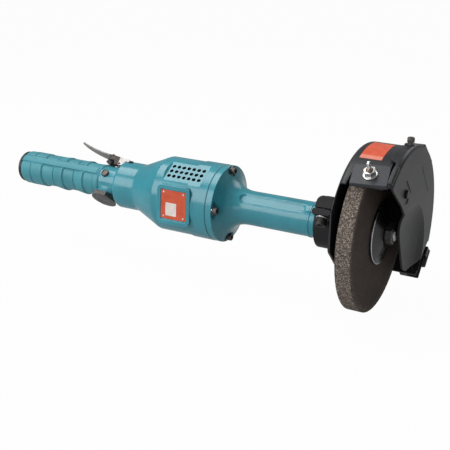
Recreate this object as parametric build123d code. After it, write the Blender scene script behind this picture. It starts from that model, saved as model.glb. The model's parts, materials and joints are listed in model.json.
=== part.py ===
from build123d import *
import math
import os

os.makedirs("parts", exist_ok=True)

# Horizontal air grinder: a straight-handled pneumatic grinder with a guarded straight wheel.
# Millimetres and degrees. X runs along the tool from the air inlet to the wheel, -Y is the nameplate's side.
# The lever, the throttle valve and the guard lean back together from +Z.

# Clearances
run_clear = 0.05
slip_clear = 0.1
press_clear = 0.025
part_gap = 0.4

# Air inlet
inlet_bush_r = 22.4
inlet_bush_t = 6.0
inlet_edge = 2.5
inlet_spigot_r = 15.0
inlet_spigot_l = 20.0
inlet_bore_r = 9.5
inlet_bore_l = 20.0
screen_t = 0.8
screen_seat_r = 8.2
screen_seat_l = 1.5

# Handle and its grip
handle_l = 179.0
handle_r = 22.0
handle_spigot_r = 20.0
handle_spigot_l = 26.0
air_bore_r = 7.0
grip_l = 114.0
grip_tube_r = 18.0
grip_crest_r = 24.2
grip_trough_r = 21.8
grip_wave = 38.0
grip_line_w = 0.8
grip_line_d = 0.6
grip_strip_r = 24.5
grip_strip_w = 10.0
grip_strip_deg = 48.0

# Throttle valve, below the lever
valve_to_head = 21.5
valve_bore_r = 9.0
valve_top_z = 14.0
valve_seat_z = -10.0
valve_stem_r = 2.5
valve_head_r = 7.0
valve_head_t = 3.7
valve_port_r = 5.5
valve_port_top = 4.0
boss_r = 15.5
boss_z = -22.5
cap_seal_t = 1.0
cap_hex_af = 33.5
cap_hex_t = 7.0
cap_spigot_r = 12.0
cap_spigot_l = 9.0
cap_cavity_r = 7.6
cap_floor_t = 3.0
valve_spring_r = 6.0
valve_spring_wall = 1.6
valve_travel = 2.2

# Regulator dial in the handle's side
dial_to_head = 22.0
dial_deg = 45.0
dial_r = 5.3
dial_t = 3.8
dial_seat_r = 21.0
dial_stem_r = 4.0
dial_stem_low = 10.0
dial_slot_w = 1.6
dial_slot_d = 1.4

# Lever, its pivot and the lock-off tab, drawn upright and leaned back with the valve
lever_lean = -42.0
pivot_to_head = 5.5
pivot_z = 28.5
pivot_lug_r = 3.4
pivot_lug_w = 16.4
lever_pin_r = 2.0
lever_sheet_t = 2.2
lever_front_gap = 0.7
lever_tip_corner = 6.0
lever_w = 21.4
lever_tip_w = 14.0
lever_top_z = 33.8
lever_bend_back = 29.0
lever_bend_z = 37.5
lever_mid_back = 64.0
lever_mid_z = 43.2
lever_tip_back = 99.0
lever_tip_z = 54.6
cheek_r = 5.0
cheek_back = 19.5
lock_cheek_r = 2.6
cheek_hole_r = 1.6
cheek_hole_back = 10.7
cheek_hole_z = 25.9
lock_to_pivot = 29.4
lock_z = 32.6
lock_pin_r = 1.3
lock_lean_deg = 68.0
lock_top_l = 8.0
lock_foot_l = 8.0
lock_t = 9.0
lock_w = 13.0

# Motor housing: head, cone and barrel in one casting
head_l = 36.0
head_r = 33.0
head_edge = 4.0
cone_l = 41.0
barrel_l = 83.6
barrel_r = 51.0
collar_r = 52.0
collar_l = 32.0
motor_bore_r = 41.0
chamber_r = 25.0
chamber_wall = 2.0
motor_wall_x = 19.0
oil_plug_r = 3.5
oil_plug_h = 1.6
oil_plug_depth = 5.0
oil_plug_from_head = 11.0

# Vent panel on the barrel's upper front
vent_deg = 55.0
vent_flat_r = 48.4
vent_panel_l = 58.0
vent_from_cone = 13.7
vent_rows = 3
vent_columns = 7
vent_pitch_x = 7.65
vent_pitch_row = 8.4
vent_hole_r = 2.7
vent_hole_depth = 16.0

# Plate frame and nameplate on the barrel's front
frame_l = 50.0
frame_h = 53.0
frame_y = 52.6
frame_wall = 5.0
frame_depth = 1.8
frame_corner = 5.0
frame_from_cone = 11.6
plate_l = 37.0
plate_h = 39.5
plate_t = 0.6
rivet_r = 1.4
rivet_h = 0.7
rivet_inset = 3.4

# Vane motor
end_plate_t = 12.0
cylinder_l = 72.0
cylinder_r = 38.0
cylinder_bore_r = 31.0
cylinder_offset = 3.2
rotor_r = 27.4
rotor_end_gap = 0.4
vane_count = 5
vane_t = 2.9
vane_slot_depth = 12.5
vane_short = 0.3
shaft_r = 7.5
shaft_hole_r = 9.0
rotor_bearing_r = 16.0
rotor_bearing_w = 9.0
bearing_gap = 0.3
silencer_end = 4.0

# Nose casting
gasket_t = 0.8
flange_t = 9.6
flange_r = 51.8
flange_rim_r = 51.2
flare_top_r = 43.0
flare_radius = 28.0
neck_r = 22.7
neck_l = 99.08
nose_r = 26.0
nose_l = 46.8
nose_step = 1.5
nose_ring_backs = (14.0, 7.0)
nose_ring_l = 3.6
nose_ring_h = 0.7
spigot_l = 10.0
coupling_cavity_r = 16.0
spindle_bore_r = 12.0
spindle_bearing_r = 21.0
spindle_bearing_w = 14.0
bearing_cap_l = 14.0
recess_deg = 47.0
recess_l = 94.0
recess_w = 16.0
recess_depth = 2.2
recess_from_neck = -13.0
screw_count = 4
screw_pcd = 91.0
screw_r = 3.0
screw_head_r = 5.0
screw_head_h = 6.0
screw_socket_af = 5.0
screw_socket_d = 3.0
screw_l = 26.0
washer_r = 5.6
washer_t = 1.8
screw_turn = 2.0
seat_depth = 1.8
spot_face_l = 25.0
spot_face_w = 12.6

# Spindle, wheel and flanges
coupling_r = 13.0
coupling_l = 34.0
coupling_back = 2.4
coupling_room = 3.0
coupling_shaft_l = 8.5
spindle_r = 10.0
spindle_tail_r = 9.0
spindle_tail_l = 20.0
spindle_collar_r = 13.0
spindle_thread_r = 7.9375
flange_gap = 2.5
wheel_r = 101.6
wheel_t = 19.05
wheel_chamfer = 0.3
wheel_flange_r = 40.0
inner_flange_t = 7.0
outer_flange_t = 9.0
flange_rim_t = 3.0
flange_hub_r = 17.0
flange_relief_r = 28.0
flange_relief_d = 1.5
blotter_t = 0.5
nut_af = 23.8
nut_t = 9.0
spindle_past_nut = 2.5

# Guard: back plate, drum and cover, tilted back on the nose
guard_tilt = -42.0
guard_gap = 7.4
guard_sheet = 3.0
guard_plate_back = 2.0
guard_chord = 67.0
guard_chord_corner = 12.0
guard_corner_chord = 94.5
guard_corner_turn = 41.4
drum_w = 51.0
drum_front_w = 3.0
drum_rear_w = -4.2
drum_foot_l = 7.0
clamp_r = 33.0
clamp_from_nose = 0.3
clamp_lean = -35.0
clamp_gap_z = -1.25
clamp_gap = 2.5
clamp_ear_y = 55.0
clamp_upper_y = 51.0
clamp_ear_from_end = 3.0
clamp_ear_l = 24.5
clamp_upper_h = 16.5
clamp_lower_h = 8.0
clamp_upper_edge = 8.0
clamp_lower_edge = 3.2
clamp_front_edge = 2.5
clamp_screw_y = 45.0
clamp_screw_r = 4.5
clamp_head_r = 7.0
clamp_head_h = 9.0
clamp_socket_af = 7.0
clamp_washer_r = 8.0
clamp_washer_t = 1.6
label_t = 0.3
label_from_plate = 8.7
label_w = 27.0
label_start_deg = 24.0
label_end_deg = 51.0

# Adjustable tongue at the drum's front end
tongue_deg = 17.0
tongue_x = 10.0
tongue_w = 43.5
tongue_turn = 5.0
tongue_up = 1.0
tongue_down = 31.0
tongue_t = 2.5
tongue_lip = 3.0
tongue_side_gap = 2.2
tongue_gap_corners = ((0.5, -4.0), (-4.5, -42.0), (10.0, -42.0), (6.0, -12.0))
tongue_slot_play = 0.3
tongue_notch_low = 17.0
tongue_notch_high = 8.0
tongue_slide_down = 8.0
tongue_slide_up = 3.0
stud_down = 16.0
stud_r = 4.0
stud_l = 25.0
stud_past_nut = 2.0
stud_tip_r = 2.4
stud_eye_r = 1.1
stud_eye_down = 4.0
stud_washer_r = 8.5
stud_washer_t = 1.6
stud_nut_af = 13.0
stud_nut_t = 6.5

# Hinged guard cover
cover_gap = 1.6
cover_lap = 4.0
cover_depth = 12.0
cover_bend = 5.0
cover_front_w = 3.0
cover_corner_shares = (
    (-0.9174, 0.0459), (-0.5229, 0.1009), (-0.2844, 0.0963), (0.1835, -0.0596), (0.4771, -0.1743),
    (0.578, -0.156), (0.7339, 0.055), (0.844, 0.2569), (0.8991, 0.4128),
)
dish_place_shares = (0.2202, -0.1101)
dish_r_share = 0.5872
dish_depth = 9.0
lap_relief_share = 0.6055
cover_screw_deg = 46.5
cover_screw_x = 5.0
cover_screw_r = 3.0
cover_screw_head_r = 4.4
cover_screw_head_h = 6.0
cover_screw_lift = 3.5
cover_tab_w = 18.0
cover_tab_l = 8.6
cover_slot_play = 1.2
pull_deg = 83.5
pull_l = 49.0
pull_w = 10.0
pull_t = 2.5
pull_back = 24.5
pull_sink = 2.4
rib_start_deg = 4.0
rib_end_deg = 17.4
rib_h = 2.4
crease_end_shares = ((-0.2844, 0.7587), (0.2202, 0.7284))
crease_w = 1.2
crease_d = 0.6
stiffener_front = 30.0
stiffener_rear = 10.0
stiffener_h = 20.0
stiffener_t = 2.5
stiffener_screw_shares = (-0.4954, 0.2752)
stiffener_screw_r = 3.0
stiffener_head_r = 5.5
stiffener_head_h = 3.0
dimple_depth = 1.2
dimple_corner_shares = (
    (-0.7706, 0.1376), (-0.4954, 0.1376), (-0.3899, 0.211), (-0.3991, 0.367), (-0.6422, 0.367),
)

# Cover hinge at the drum's rear end
hinge_u_gap = 4.5
hinge_back = 3.0
knuckle_r = 4.0
hinge_pin_r = 2.0
guard_knuckle_low = 15.0
guard_knuckle_l = 11.0
cover_knuckle_l = 13.0
knuckle_gap = 0.5
hinge_strap_t = 3.0
hinge_pad_l = 16.0

# Places along the axis, worked out from the sizes above
x_head = handle_l
x_cone = x_head + head_l
x_barrel = x_cone + cone_l
x_seam = x_barrel + barrel_l
x_flange = x_seam + gasket_t
x_front = x_flange + flange_t
flare_rise = flare_top_r - neck_r
flare_run = math.sqrt(flare_radius**2 - (flare_radius - flare_rise) ** 2)
x_flare = x_front + flange_rim_r - flare_top_r
x_neck = x_flare + flare_run
x_nose = x_neck + neck_l
x_nose_end = x_nose + nose_l
x_inner_flange = x_nose_end + flange_gap
x_wheel = x_inner_flange + inner_flange_t + blotter_t
x_wheel_face = x_wheel + wheel_t
x_outer_flange = x_wheel_face + blotter_t
x_nut = x_outer_flange + outer_flange_t
x_spindle_end = x_nut + nut_t + spindle_past_nut
x_motor = x_cone + motor_wall_x
x_cylinder = x_motor + end_plate_t
x_front_plate = x_cylinder + cylinder_l
x_spigot = x_front_plate + end_plate_t
x_coupling = x_spigot + spigot_l - coupling_back
x_coupling_end = x_coupling + coupling_l
x_bearing = x_nose_end - bearing_cap_l - spindle_bearing_w
x_plate = x_nose_end - guard_plate_back
x_drum = x_plate + guard_sheet
x_split = x_drum + drum_w
x_cover = x_split + cover_depth
x_valve = x_head - valve_to_head
x_pivot = x_head - pivot_to_head
x_lock = x_pivot - lock_to_pivot
x_dial = x_head - dial_to_head
grip_end = inlet_bush_t + grip_l
lever_bend_x = x_head - lever_bend_back
lever_mid_x = x_head - lever_mid_back
lever_tip_x = x_head - lever_tip_back
cap_top_z = boss_z - cap_seal_t
cap_bottom_z = cap_top_z - cap_hex_t
guard_r = wheel_r + guard_gap
cover_skirt_in = guard_r + cover_gap
cover_skirt_r = cover_skirt_in + guard_sheet
hinge_u = cover_skirt_r + hinge_u_gap
hinge_x = x_cover - hinge_back
x_tongue = x_drum + tongue_x
x_clamp = x_nose + clamp_from_nose
x_clamp_screw = x_clamp + clamp_ear_from_end + clamp_ear_l / 2


def rod_x(radius, start, end, y=0.0, z=0.0):
    """Round bar along X."""
    bar = Cylinder(radius, end - start, align=(Align.CENTER, Align.CENTER, Align.MIN))
    return Pos(start, y, z) * Rot(0, 90, 0) * bar


def rod_y(radius, start, end, x, z):
    """Round bar along Y."""
    bar = Cylinder(radius, end - start, align=(Align.CENTER, Align.CENTER, Align.MIN))
    return Pos(x, start, z) * Rot(-90, 0, 0) * bar


def rod_z(radius, start, end, x, y=0.0):
    """Round bar along Z."""
    bar = Cylinder(radius, end - start, align=(Align.CENTER, Align.CENTER, Align.MIN))
    return Pos(x, y, start) * bar


def ring_x(outer, inner, start, end):
    """Ring about the tool axis."""
    return rod_x(outer, start, end) - rod_x(inner, start, end)


def block(x0, x1, y0, y1, z0, z1):
    """Box between two corners."""
    box = Box(x1 - x0, y1 - y0, z1 - z0)
    return Pos((x0 + x1) / 2, (y0 + y1) / 2, (z0 + z1) / 2) * box


def turned(*points):
    """Solid of revolution about the tool axis from (x, radius) corners."""
    return revolve(make_face(Polyline(*points, close=True)), Axis.X)


def hex_face(across_flats):
    """Hexagon given by its width across flats."""
    return RegularPolygon(across_flats / math.sqrt(3), 6)


def hex_z(across_flats, start, end, x, y=0.0):
    """Hexagonal bar along Z."""
    return Pos(x, y, start) * extrude(hex_face(across_flats), end - start)


def hex_x(across_flats, start, end, y=0.0, z=0.0):
    """Hexagonal bar along X."""
    return Pos(start, y, z) * Rot(0, 90, 0) * extrude(hex_face(across_flats), end - start)


def side_plane(x):
    """Plane across the axis, with its own X along Y and its own Y along Z."""
    return Plane(origin=(x, 0, 0), x_dir=(0, 1, 0), z_dir=(1, 0, 0))


def at_angle(degrees):
    """Turn about the axis that takes the top to an angle above the front."""
    return Rot(90 - degrees, 0, 0)


def leaned(solid):
    """Lean a lever or valve piece, modelled upright, back on the handle."""
    return Rot(lever_lean, 0, 0) * solid


def on_guard(solid):
    """Lean a guard piece, modelled upright, back on the nose."""
    return Rot(guard_tilt, 0, 0) * solid


def on_clamp(solid):
    """Lift a clamp piece, modelled level, at the collar's front."""
    return Rot(clamp_lean, 0, 0) * solid


def guard_places(shares):
    """Places on the guard's face from shares of its radius."""
    return [(guard_r * across, guard_r * up) for across, up in shares]


# Air inlet


def inlet_bushing():
    """Threaded bush with a seat for the screen behind the thread."""
    end = inlet_bush_t + inlet_spigot_l
    return turned(
        (0, inlet_bore_r),
        (0, inlet_bush_r - inlet_edge),
        (inlet_edge, inlet_bush_r),
        (inlet_bush_t, inlet_bush_r),
        (inlet_bush_t, inlet_spigot_r),
        (end, inlet_spigot_r),
        (end, air_bore_r),
        (inlet_bore_l + screen_seat_l, air_bore_r),
        (inlet_bore_l + screen_seat_l, screen_seat_r),
        (inlet_bore_l, screen_seat_r),
        (inlet_bore_l, inlet_bore_r),
    )


def inlet_screen():
    end = inlet_bore_l + screen_seat_l
    return rod_x(screen_seat_r - slip_clear, end - screen_t, end)


# Handle


def grip_crests():
    """Places of the wave's crests before the grip's end."""
    crests = []
    crest = inlet_bush_t + grip_wave
    while crest < grip_end - grip_wave / 2:
        crests.append(crest)
        crest += grip_wave
    return crests


def grip_strip(side, start, end):
    """Straight strip along the grip at an angle above the front."""
    half_w = grip_strip_w / 2
    return at_angle(side) * block(start, end, -half_w, half_w, 0, 2 * grip_crest_r)


def grip_sleeve():
    """Grip with a smooth wave along it and two straight strips of constant radius."""
    start = inlet_bush_t
    inside = grip_tube_r + slip_clear
    points = [(start, grip_crest_r - 2 * part_gap), (start + grip_wave / 2, grip_crest_r)]
    for crest in grip_crests():
        points.append((crest, grip_crest_r))
        points.append((crest + grip_wave / 2, grip_trough_r))
    points.append((grip_end, grip_crest_r))
    wave = Spline(*points, tangents=((1, 0), (1, 0)))
    inner = Polyline(points[-1], (grip_end, inside), (start, inside), points[0])
    sleeve = revolve(make_face([wave, inner]), Axis.X)
    half_w = grip_line_w / 2
    lines = [(start + grip_wave / 2, grip_crest_r)]
    for crest in grip_crests():
        lines.append((crest, grip_crest_r))
        lines.append((crest + grip_wave / 2, grip_trough_r))
    for place, radius in lines:
        sleeve -= ring_x(grip_crest_r + 1, radius - grip_line_d, place - half_w, place + half_w)
    for side in (grip_strip_deg, 180 - grip_strip_deg):
        strip = grip_strip(side, start, grip_end)
        sleeve -= strip & ring_x(grip_crest_r + 2, grip_strip_r, start, grip_end)
        sleeve += strip & ring_x(grip_strip_r, grip_trough_r - 1, start, grip_end)
    return sleeve


def handle_barrel():
    """Round handle in front of the grip, starting with the wave's last fall and the front strip."""
    fall_end = grip_end + grip_wave / 2
    fall = Spline((grip_end, grip_crest_r), (fall_end, handle_r), tangents=((1, 0), (1, 0)))
    rest = Polyline(
        (fall_end, handle_r), (x_head, handle_r), (x_head, 0), (grip_end, 0), (grip_end, grip_crest_r)
    )
    barrel = revolve(make_face([fall, rest]), Axis.X)
    strip = grip_strip(grip_strip_deg, grip_end, x_dial)
    barrel -= strip & ring_x(grip_crest_r + 2, grip_strip_r, grip_end, x_dial)
    return barrel + (strip & ring_x(grip_strip_r, handle_r - 1, grip_end, x_dial))


def handle_casting():
    body = rod_x(grip_tube_r, inlet_bush_t, grip_end + 1)
    body += handle_barrel()
    body += rod_x(handle_spigot_r, x_head, x_head + handle_spigot_l)
    boss = rod_z(boss_r, boss_z, 0, x_valve)
    half_w = pivot_lug_w / 2
    lug = rod_y(pivot_lug_r, -half_w, half_w, x_pivot, pivot_z)
    lug += block(x_pivot - pivot_lug_r, x_pivot + pivot_lug_r, -half_w, half_w, handle_r / 2, pivot_z)
    body += leaned(boss)
    body += leaned(lug)
    body -= leaned(rod_z(cap_hex_af / math.sqrt(3) + part_gap, cap_bottom_z, boss_z, x_valve))
    body -= rod_x(inlet_spigot_r + slip_clear, inlet_bush_t, inlet_bush_t + inlet_spigot_l)
    body -= rod_x(air_bore_r, inlet_bush_t, x_head + handle_spigot_l)
    room = rod_z(valve_bore_r, boss_z, valve_top_z, x_valve)
    room += rod_z(cap_spigot_r + slip_clear, boss_z, boss_z + cap_spigot_l + part_gap, x_valve)
    room += rod_z(valve_stem_r + part_gap, valve_top_z, 2 * handle_r, x_valve)
    body -= leaned(room)
    body -= leaned(rod_y(lever_pin_r, -pivot_lug_w, pivot_lug_w, x_pivot, pivot_z))
    seat = rod_z(dial_r + part_gap, dial_seat_r, 2 * handle_r, x_dial)
    seat += rod_z(dial_stem_r + run_clear, dial_stem_low, dial_seat_r, x_dial)
    return body - at_angle(dial_deg) * seat


# Throttle valve


def valve_bushing():
    body = rod_z(valve_bore_r - slip_clear / 2, valve_seat_z, valve_top_z, x_valve)
    body -= rod_z(valve_port_r, valve_seat_z, valve_port_top, x_valve)
    body -= rod_z(valve_stem_r + run_clear, valve_seat_z, valve_top_z, x_valve)
    body -= rod_x(air_bore_r - 2, x_valve - 2 * valve_bore_r, x_valve + 2 * valve_bore_r)
    return leaned(body)


def lever_under_z(x):
    """Height of the lever's underside over the valve, on the straight stretch and the bend after it."""
    if x >= lever_bend_x:
        front_x = x_head - lever_front_gap
        share = (front_x - x) / (front_x - lever_bend_x)
        return lever_top_z + share * (lever_bend_z - lever_top_z) - lever_sheet_t
    share = (lever_bend_x - x) / (lever_bend_x - lever_mid_x)
    return lever_bend_z + share * share * (lever_mid_z - lever_bend_z) - lever_sheet_t


def valve_stem():
    head_top = valve_seat_z - part_gap
    body = rod_z(valve_head_r, head_top - valve_head_t, head_top, x_valve)
    body += rod_z(valve_stem_r, head_top, lever_under_z(x_valve) - part_gap, x_valve)
    return leaned(body)


def valve_spring():
    """Sleeve in place of the coil, at its length with the lever pressed."""
    top = valve_seat_z - part_gap - valve_head_t
    bottom = cap_bottom_z + cap_floor_t + valve_travel + part_gap
    coil = rod_z(valve_spring_r, bottom, top, x_valve)
    return leaned(coil - rod_z(valve_spring_r - valve_spring_wall, bottom, top, x_valve))


def valve_cap():
    body = hex_z(cap_hex_af, cap_bottom_z, cap_top_z, x_valve)
    body += rod_z(cap_spigot_r, cap_top_z, boss_z + cap_spigot_l, x_valve)
    body -= rod_z(cap_cavity_r, cap_bottom_z + cap_floor_t, boss_z + cap_spigot_l, x_valve)
    return leaned(body)


def valve_cap_seal():
    seal = rod_z(boss_r - slip_clear, cap_top_z, boss_z, x_valve)
    return leaned(seal - rod_z(cap_spigot_r + slip_clear, cap_top_z, boss_z, x_valve))


def regulator_dial():
    top = dial_seat_r + part_gap + dial_t
    dial = rod_z(dial_r, dial_seat_r + part_gap, top, x_dial)
    dial += rod_z(dial_stem_r, dial_stem_low + part_gap, dial_seat_r + part_gap, x_dial)
    dial -= block(
        x_dial - 2 * dial_r, x_dial + 2 * dial_r, -dial_slot_w / 2, dial_slot_w / 2, top - dial_slot_d, top
    )
    return at_angle(dial_deg) * dial


# Lever and lock-off tab


def lever_profile():
    """Side view of the lever's sheet, curling up at the tip."""
    front_x = x_head - lever_front_gap
    drop = lever_sheet_t
    top_line = Line((front_x, lever_top_z), (lever_bend_x, lever_bend_z))
    top_arc = ThreePointArc(
        (lever_bend_x, lever_bend_z), (lever_mid_x, lever_mid_z), (lever_tip_x, lever_tip_z)
    )
    tip = Line((lever_tip_x, lever_tip_z), (lever_tip_x, lever_tip_z - drop))
    low_arc = ThreePointArc(
        (lever_tip_x, lever_tip_z - drop),
        (lever_mid_x, lever_mid_z - drop),
        (lever_bend_x, lever_bend_z - drop),
    )
    low_line = Line((lever_bend_x, lever_bend_z - drop), (front_x, lever_top_z - drop))
    front = Line((front_x, lever_top_z - drop), (front_x, lever_top_z))
    return make_face([top_line, top_arc, tip, low_arc, low_line, front])


def along_y(face, width):
    """Extrude a side view, drawn as (x, z), to a width centred on the axis."""
    return Rot(90, 0, 0) * extrude(face, width / 2, both=True)


def throttle_lever():
    sheet = along_y(lever_profile(), lever_w)
    taper = make_face(
        Polyline(
            (x_head, -lever_w / 2),
            (lever_bend_x, -lever_w / 2),
            (lever_tip_x + lever_tip_corner, -lever_tip_w / 2),
            (lever_tip_x, -lever_tip_w / 2 + lever_tip_corner),
            (lever_tip_x, lever_tip_w / 2 - lever_tip_corner),
            (lever_tip_x + lever_tip_corner, lever_tip_w / 2),
            (lever_bend_x, lever_w / 2),
            (x_head, lever_w / 2),
            close=True,
        )
    )
    sheet &= Pos(0, 0, pivot_z - cheek_r) * extrude(taper, 2 * lever_tip_z)
    lug_low = lock_z - lock_cheek_r
    cheek_front = x_pivot + cheek_r - part_gap
    cheek_face = make_face(
        Polyline(
            (x_lock - lock_cheek_r, lever_bend_z),
            (x_lock - lock_cheek_r, lug_low),
            (x_pivot - cheek_back - 1, lug_low),
            (x_pivot - cheek_back, pivot_z - cheek_r),
            (x_pivot + 2, pivot_z - cheek_r),
            (cheek_front, pivot_z - 2),
            (cheek_front, lever_top_z - lever_sheet_t / 2),
            (lever_bend_x, lever_bend_z - lever_sheet_t / 2),
            close=True,
        )
    )
    cheeks = along_y(cheek_face, lever_w)
    inside = lever_w / 2 - lever_sheet_t
    cheeks -= block(lever_tip_x, x_head, -inside, inside, 0, lever_tip_z)
    lever = sheet + cheeks
    slot_back = x_lock - lock_t / 2 - 1
    slot_front = x_lock + lock_top_l + 2
    slot_w = lock_w / 2 + part_gap
    lever -= block(slot_back, slot_front, -slot_w, slot_w, pivot_z, lever_tip_z)
    lever -= rod_y(lever_pin_r + run_clear, -lever_w, lever_w, x_pivot, pivot_z)
    lever -= rod_y(lock_pin_r, -lever_w, lever_w, x_lock, lock_z)
    lever -= rod_y(cheek_hole_r, -lever_w, lever_w, x_pivot - cheek_hole_back, cheek_hole_z)
    return leaned(lever)


def lever_pin():
    return leaned(rod_y(lever_pin_r, -lever_w / 2 - 1, lever_w / 2 + 1, x_pivot, pivot_z))


def lock_pin():
    return leaned(rod_y(lock_pin_r, -lever_w / 2, lever_w / 2, x_lock, lock_z))


def lock_tab():
    """Leaning tab on a cross pin; its foot stands over the handle and bars the lever until it is tipped."""
    bar = block(-lock_foot_l, lock_top_l, -lock_w / 2, lock_w / 2, -lock_t / 2, lock_t / 2)
    tab = bar - Rot(90, 0, 0) * Cylinder(lock_pin_r + run_clear, 2 * lock_w)
    return leaned(Pos(x_lock, 0, lock_z) * Rot(0, -lock_lean_deg, 0) * tab)


# Motor housing


def motor_housing():
    bore_end = x_head + handle_spigot_l + slip_clear
    half_edge = head_edge * (1 - math.sqrt(0.5))
    outline = [
        Line((x_head, handle_spigot_r + slip_clear), (x_head, head_r - head_edge)),
        ThreePointArc(
            (x_head, head_r - head_edge),
            (x_head + half_edge, head_r - half_edge),
            (x_head + head_edge, head_r),
        ),
        Polyline(
            (x_head + head_edge, head_r),
            (x_cone, head_r),
            (x_barrel, barrel_r),
            (x_seam - collar_l, barrel_r),
            (x_seam - collar_l + collar_r - barrel_r, collar_r),
            (x_seam, collar_r),
            (x_seam, motor_bore_r),
            (x_motor, motor_bore_r),
            (x_motor, chamber_r),
            (bore_end + chamber_wall, chamber_r),
            (bore_end + chamber_wall, air_bore_r),
            (bore_end, air_bore_r),
            (bore_end, handle_spigot_r + slip_clear),
            (x_head, handle_spigot_r + slip_clear),
        ),
    ]
    body = revolve(make_face(outline), Axis.X)
    body += plate_frame()
    body -= plate_pocket()
    vent_start = x_barrel + vent_from_cone
    flat = block(vent_start, vent_start + vent_panel_l, -collar_r, collar_r, vent_flat_r, 2 * collar_r)
    body -= at_angle(vent_deg) * flat
    for hole in vent_holes(vent_start):
        body -= hole
    for place in screw_places():
        body -= rod_x(screw_r, x_seam - screw_l, x_seam, *place)
    plug_x = x_head + oil_plug_from_head
    body -= rod_z(oil_plug_r, head_r - oil_plug_depth, 2 * head_r, plug_x)
    return body


def vent_holes(vent_start):
    """Rows of exhaust holes square to the flat panel."""
    middle = vent_start + vent_panel_l / 2
    holes = []
    for row in range(vent_rows):
        across = (row - (vent_rows - 1) / 2) * vent_pitch_row
        for column in range(vent_columns):
            along = (column - (vent_columns - 1) / 2) * vent_pitch_x
            hole = rod_z(vent_hole_r, collar_r - vent_hole_depth, collar_r, middle + along, across)
            holes.append(at_angle(vent_deg) * hole)
    return holes


def plate_middle():
    return x_barrel + frame_from_cone + frame_l / 2


def plate_frame():
    """Raised rectangular pad on the front of the barrel, clear of the motor bore."""
    pad_face = RectangleRounded(frame_l, frame_h, frame_corner)
    pad = Pos(plate_middle(), 0, 0) * Rot(90, 0, 0) * extrude(pad_face, frame_y)
    return pad - rod_x(motor_bore_r + frame_wall, x_barrel, x_seam)


def plate_pocket():
    """Hollow in the pad that leaves a frame round the nameplate."""
    face = RectangleRounded(frame_l - 2 * frame_wall, frame_h - 2 * frame_wall, frame_corner / 2)
    pocket = extrude(face, 2 * frame_depth)
    return Pos(plate_middle(), -frame_y + frame_depth, 0) * Rot(90, 0, 0) * pocket


def nameplate():
    floor = -frame_y + frame_depth
    start = plate_middle() - plate_l / 2
    return block(start, start + plate_l, floor - plate_t, floor, -plate_h / 2, plate_h / 2)


def nameplate_rivets():
    face = -frame_y + frame_depth - plate_t
    middle = plate_middle()
    rivets = []
    for side_x in (-1, 1):
        for side_z in (-1, 1):
            x = middle + side_x * (plate_l / 2 - rivet_inset)
            z = side_z * (plate_h / 2 - rivet_inset)
            rivets.append(rod_y(rivet_r, face - rivet_h, face, x, z))
    return Compound(children=rivets)


def oil_plug():
    plug_x = x_head + oil_plug_from_head
    plug = rod_z(oil_plug_r - slip_clear, head_r - oil_plug_depth, head_r + oil_plug_h, plug_x)
    return plug - hex_z(oil_plug_r, head_r + oil_plug_h - 2, head_r + oil_plug_h, plug_x)


def housing_gasket():
    gasket = ring_x(flange_r, motor_bore_r, x_seam, x_flange)
    for place in screw_places():
        gasket -= rod_x(screw_r + slip_clear, x_seam, x_flange, *place)
    return gasket


def screw_places():
    """Centres of the flange screws as (y, z)."""
    places = []
    for index in range(screw_count):
        turn = math.radians(360 / screw_count * index - screw_turn)
        places.append((screw_pcd / 2 * math.cos(turn), screw_pcd / 2 * math.sin(turn)))
    return places


def flange_screws():
    seat = x_front - seat_depth + washer_t
    screws = []
    for place in screw_places():
        screw = rod_x(screw_head_r, seat, seat + screw_head_h, *place)
        screw += rod_x(screw_r - slip_clear, x_seam - screw_l + 1, seat, *place)
        screw -= hex_x(screw_socket_af, seat + screw_head_h - screw_socket_d, seat + screw_head_h, *place)
        screws.append(screw)
    return Compound(children=screws)


def lock_washers():
    washers = []
    for place in screw_places():
        start = x_front - seat_depth
        washer = rod_x(washer_r, start, start + washer_t, *place)
        washers.append(washer - rod_x(screw_r, start, start + washer_t, *place))
    return Compound(children=washers)


# Vane motor


def end_plate(start, pocket_start):
    """Motor end plate with a bearing pocket on one face."""
    plate = rod_x(motor_bore_r - slip_clear, start, start + end_plate_t)
    plate -= rod_x(shaft_hole_r, start, start + end_plate_t)
    plate -= rod_x(rotor_bearing_r, pocket_start, pocket_start + rotor_bearing_w)
    return plate


def rear_end_plate():
    return end_plate(x_motor, x_motor)


def front_end_plate():
    return end_plate(x_front_plate, x_front_plate + end_plate_t - rotor_bearing_w)


def motor_cylinder():
    body = rod_x(cylinder_r, x_cylinder, x_front_plate)
    return body - rod_x(cylinder_bore_r, x_cylinder, x_front_plate, 0, cylinder_offset)


def exhaust_silencer():
    start = x_cylinder + silencer_end
    return ring_x(motor_bore_r - slip_clear, cylinder_r + slip_clear, start, x_front_plate - silencer_end)


def bearing_split(outer, inner):
    """Radius where a shielded bearing's rings part."""
    return (outer + inner) / 2


def bearing_outer(start, width, outer, inner):
    return ring_x(outer - press_clear, bearing_split(outer, inner) + bearing_gap, start, start + width)


def bearing_inner(start, width, outer, inner):
    return ring_x(bearing_split(outer, inner), inner + press_clear, start, start + width)


def rotor():
    body = rod_x(rotor_r, x_cylinder + rotor_end_gap, x_front_plate - rotor_end_gap)
    for index in range(vane_count):
        slot = block(
            x_cylinder, x_front_plate, -vane_t / 2 - slip_clear, vane_t / 2 + slip_clear,
            rotor_r - vane_slot_depth, 2 * rotor_r,
        )
        body -= Rot(360 / vane_count * index, 0, 0) * slot
    body += rod_x(shaft_r, x_motor, x_coupling + coupling_shaft_l)
    return body


def vanes():
    blades = []
    for index in range(vane_count):
        blade = block(
            x_cylinder + 2 * rotor_end_gap, x_front_plate - 2 * rotor_end_gap, -vane_t / 2, vane_t / 2,
            rotor_r - vane_slot_depth, rotor_r - vane_short,
        )
        blades.append(Rot(360 / vane_count * index, 0, 0) * blade)
    return Compound(children=blades)


# Nose casting


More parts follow.
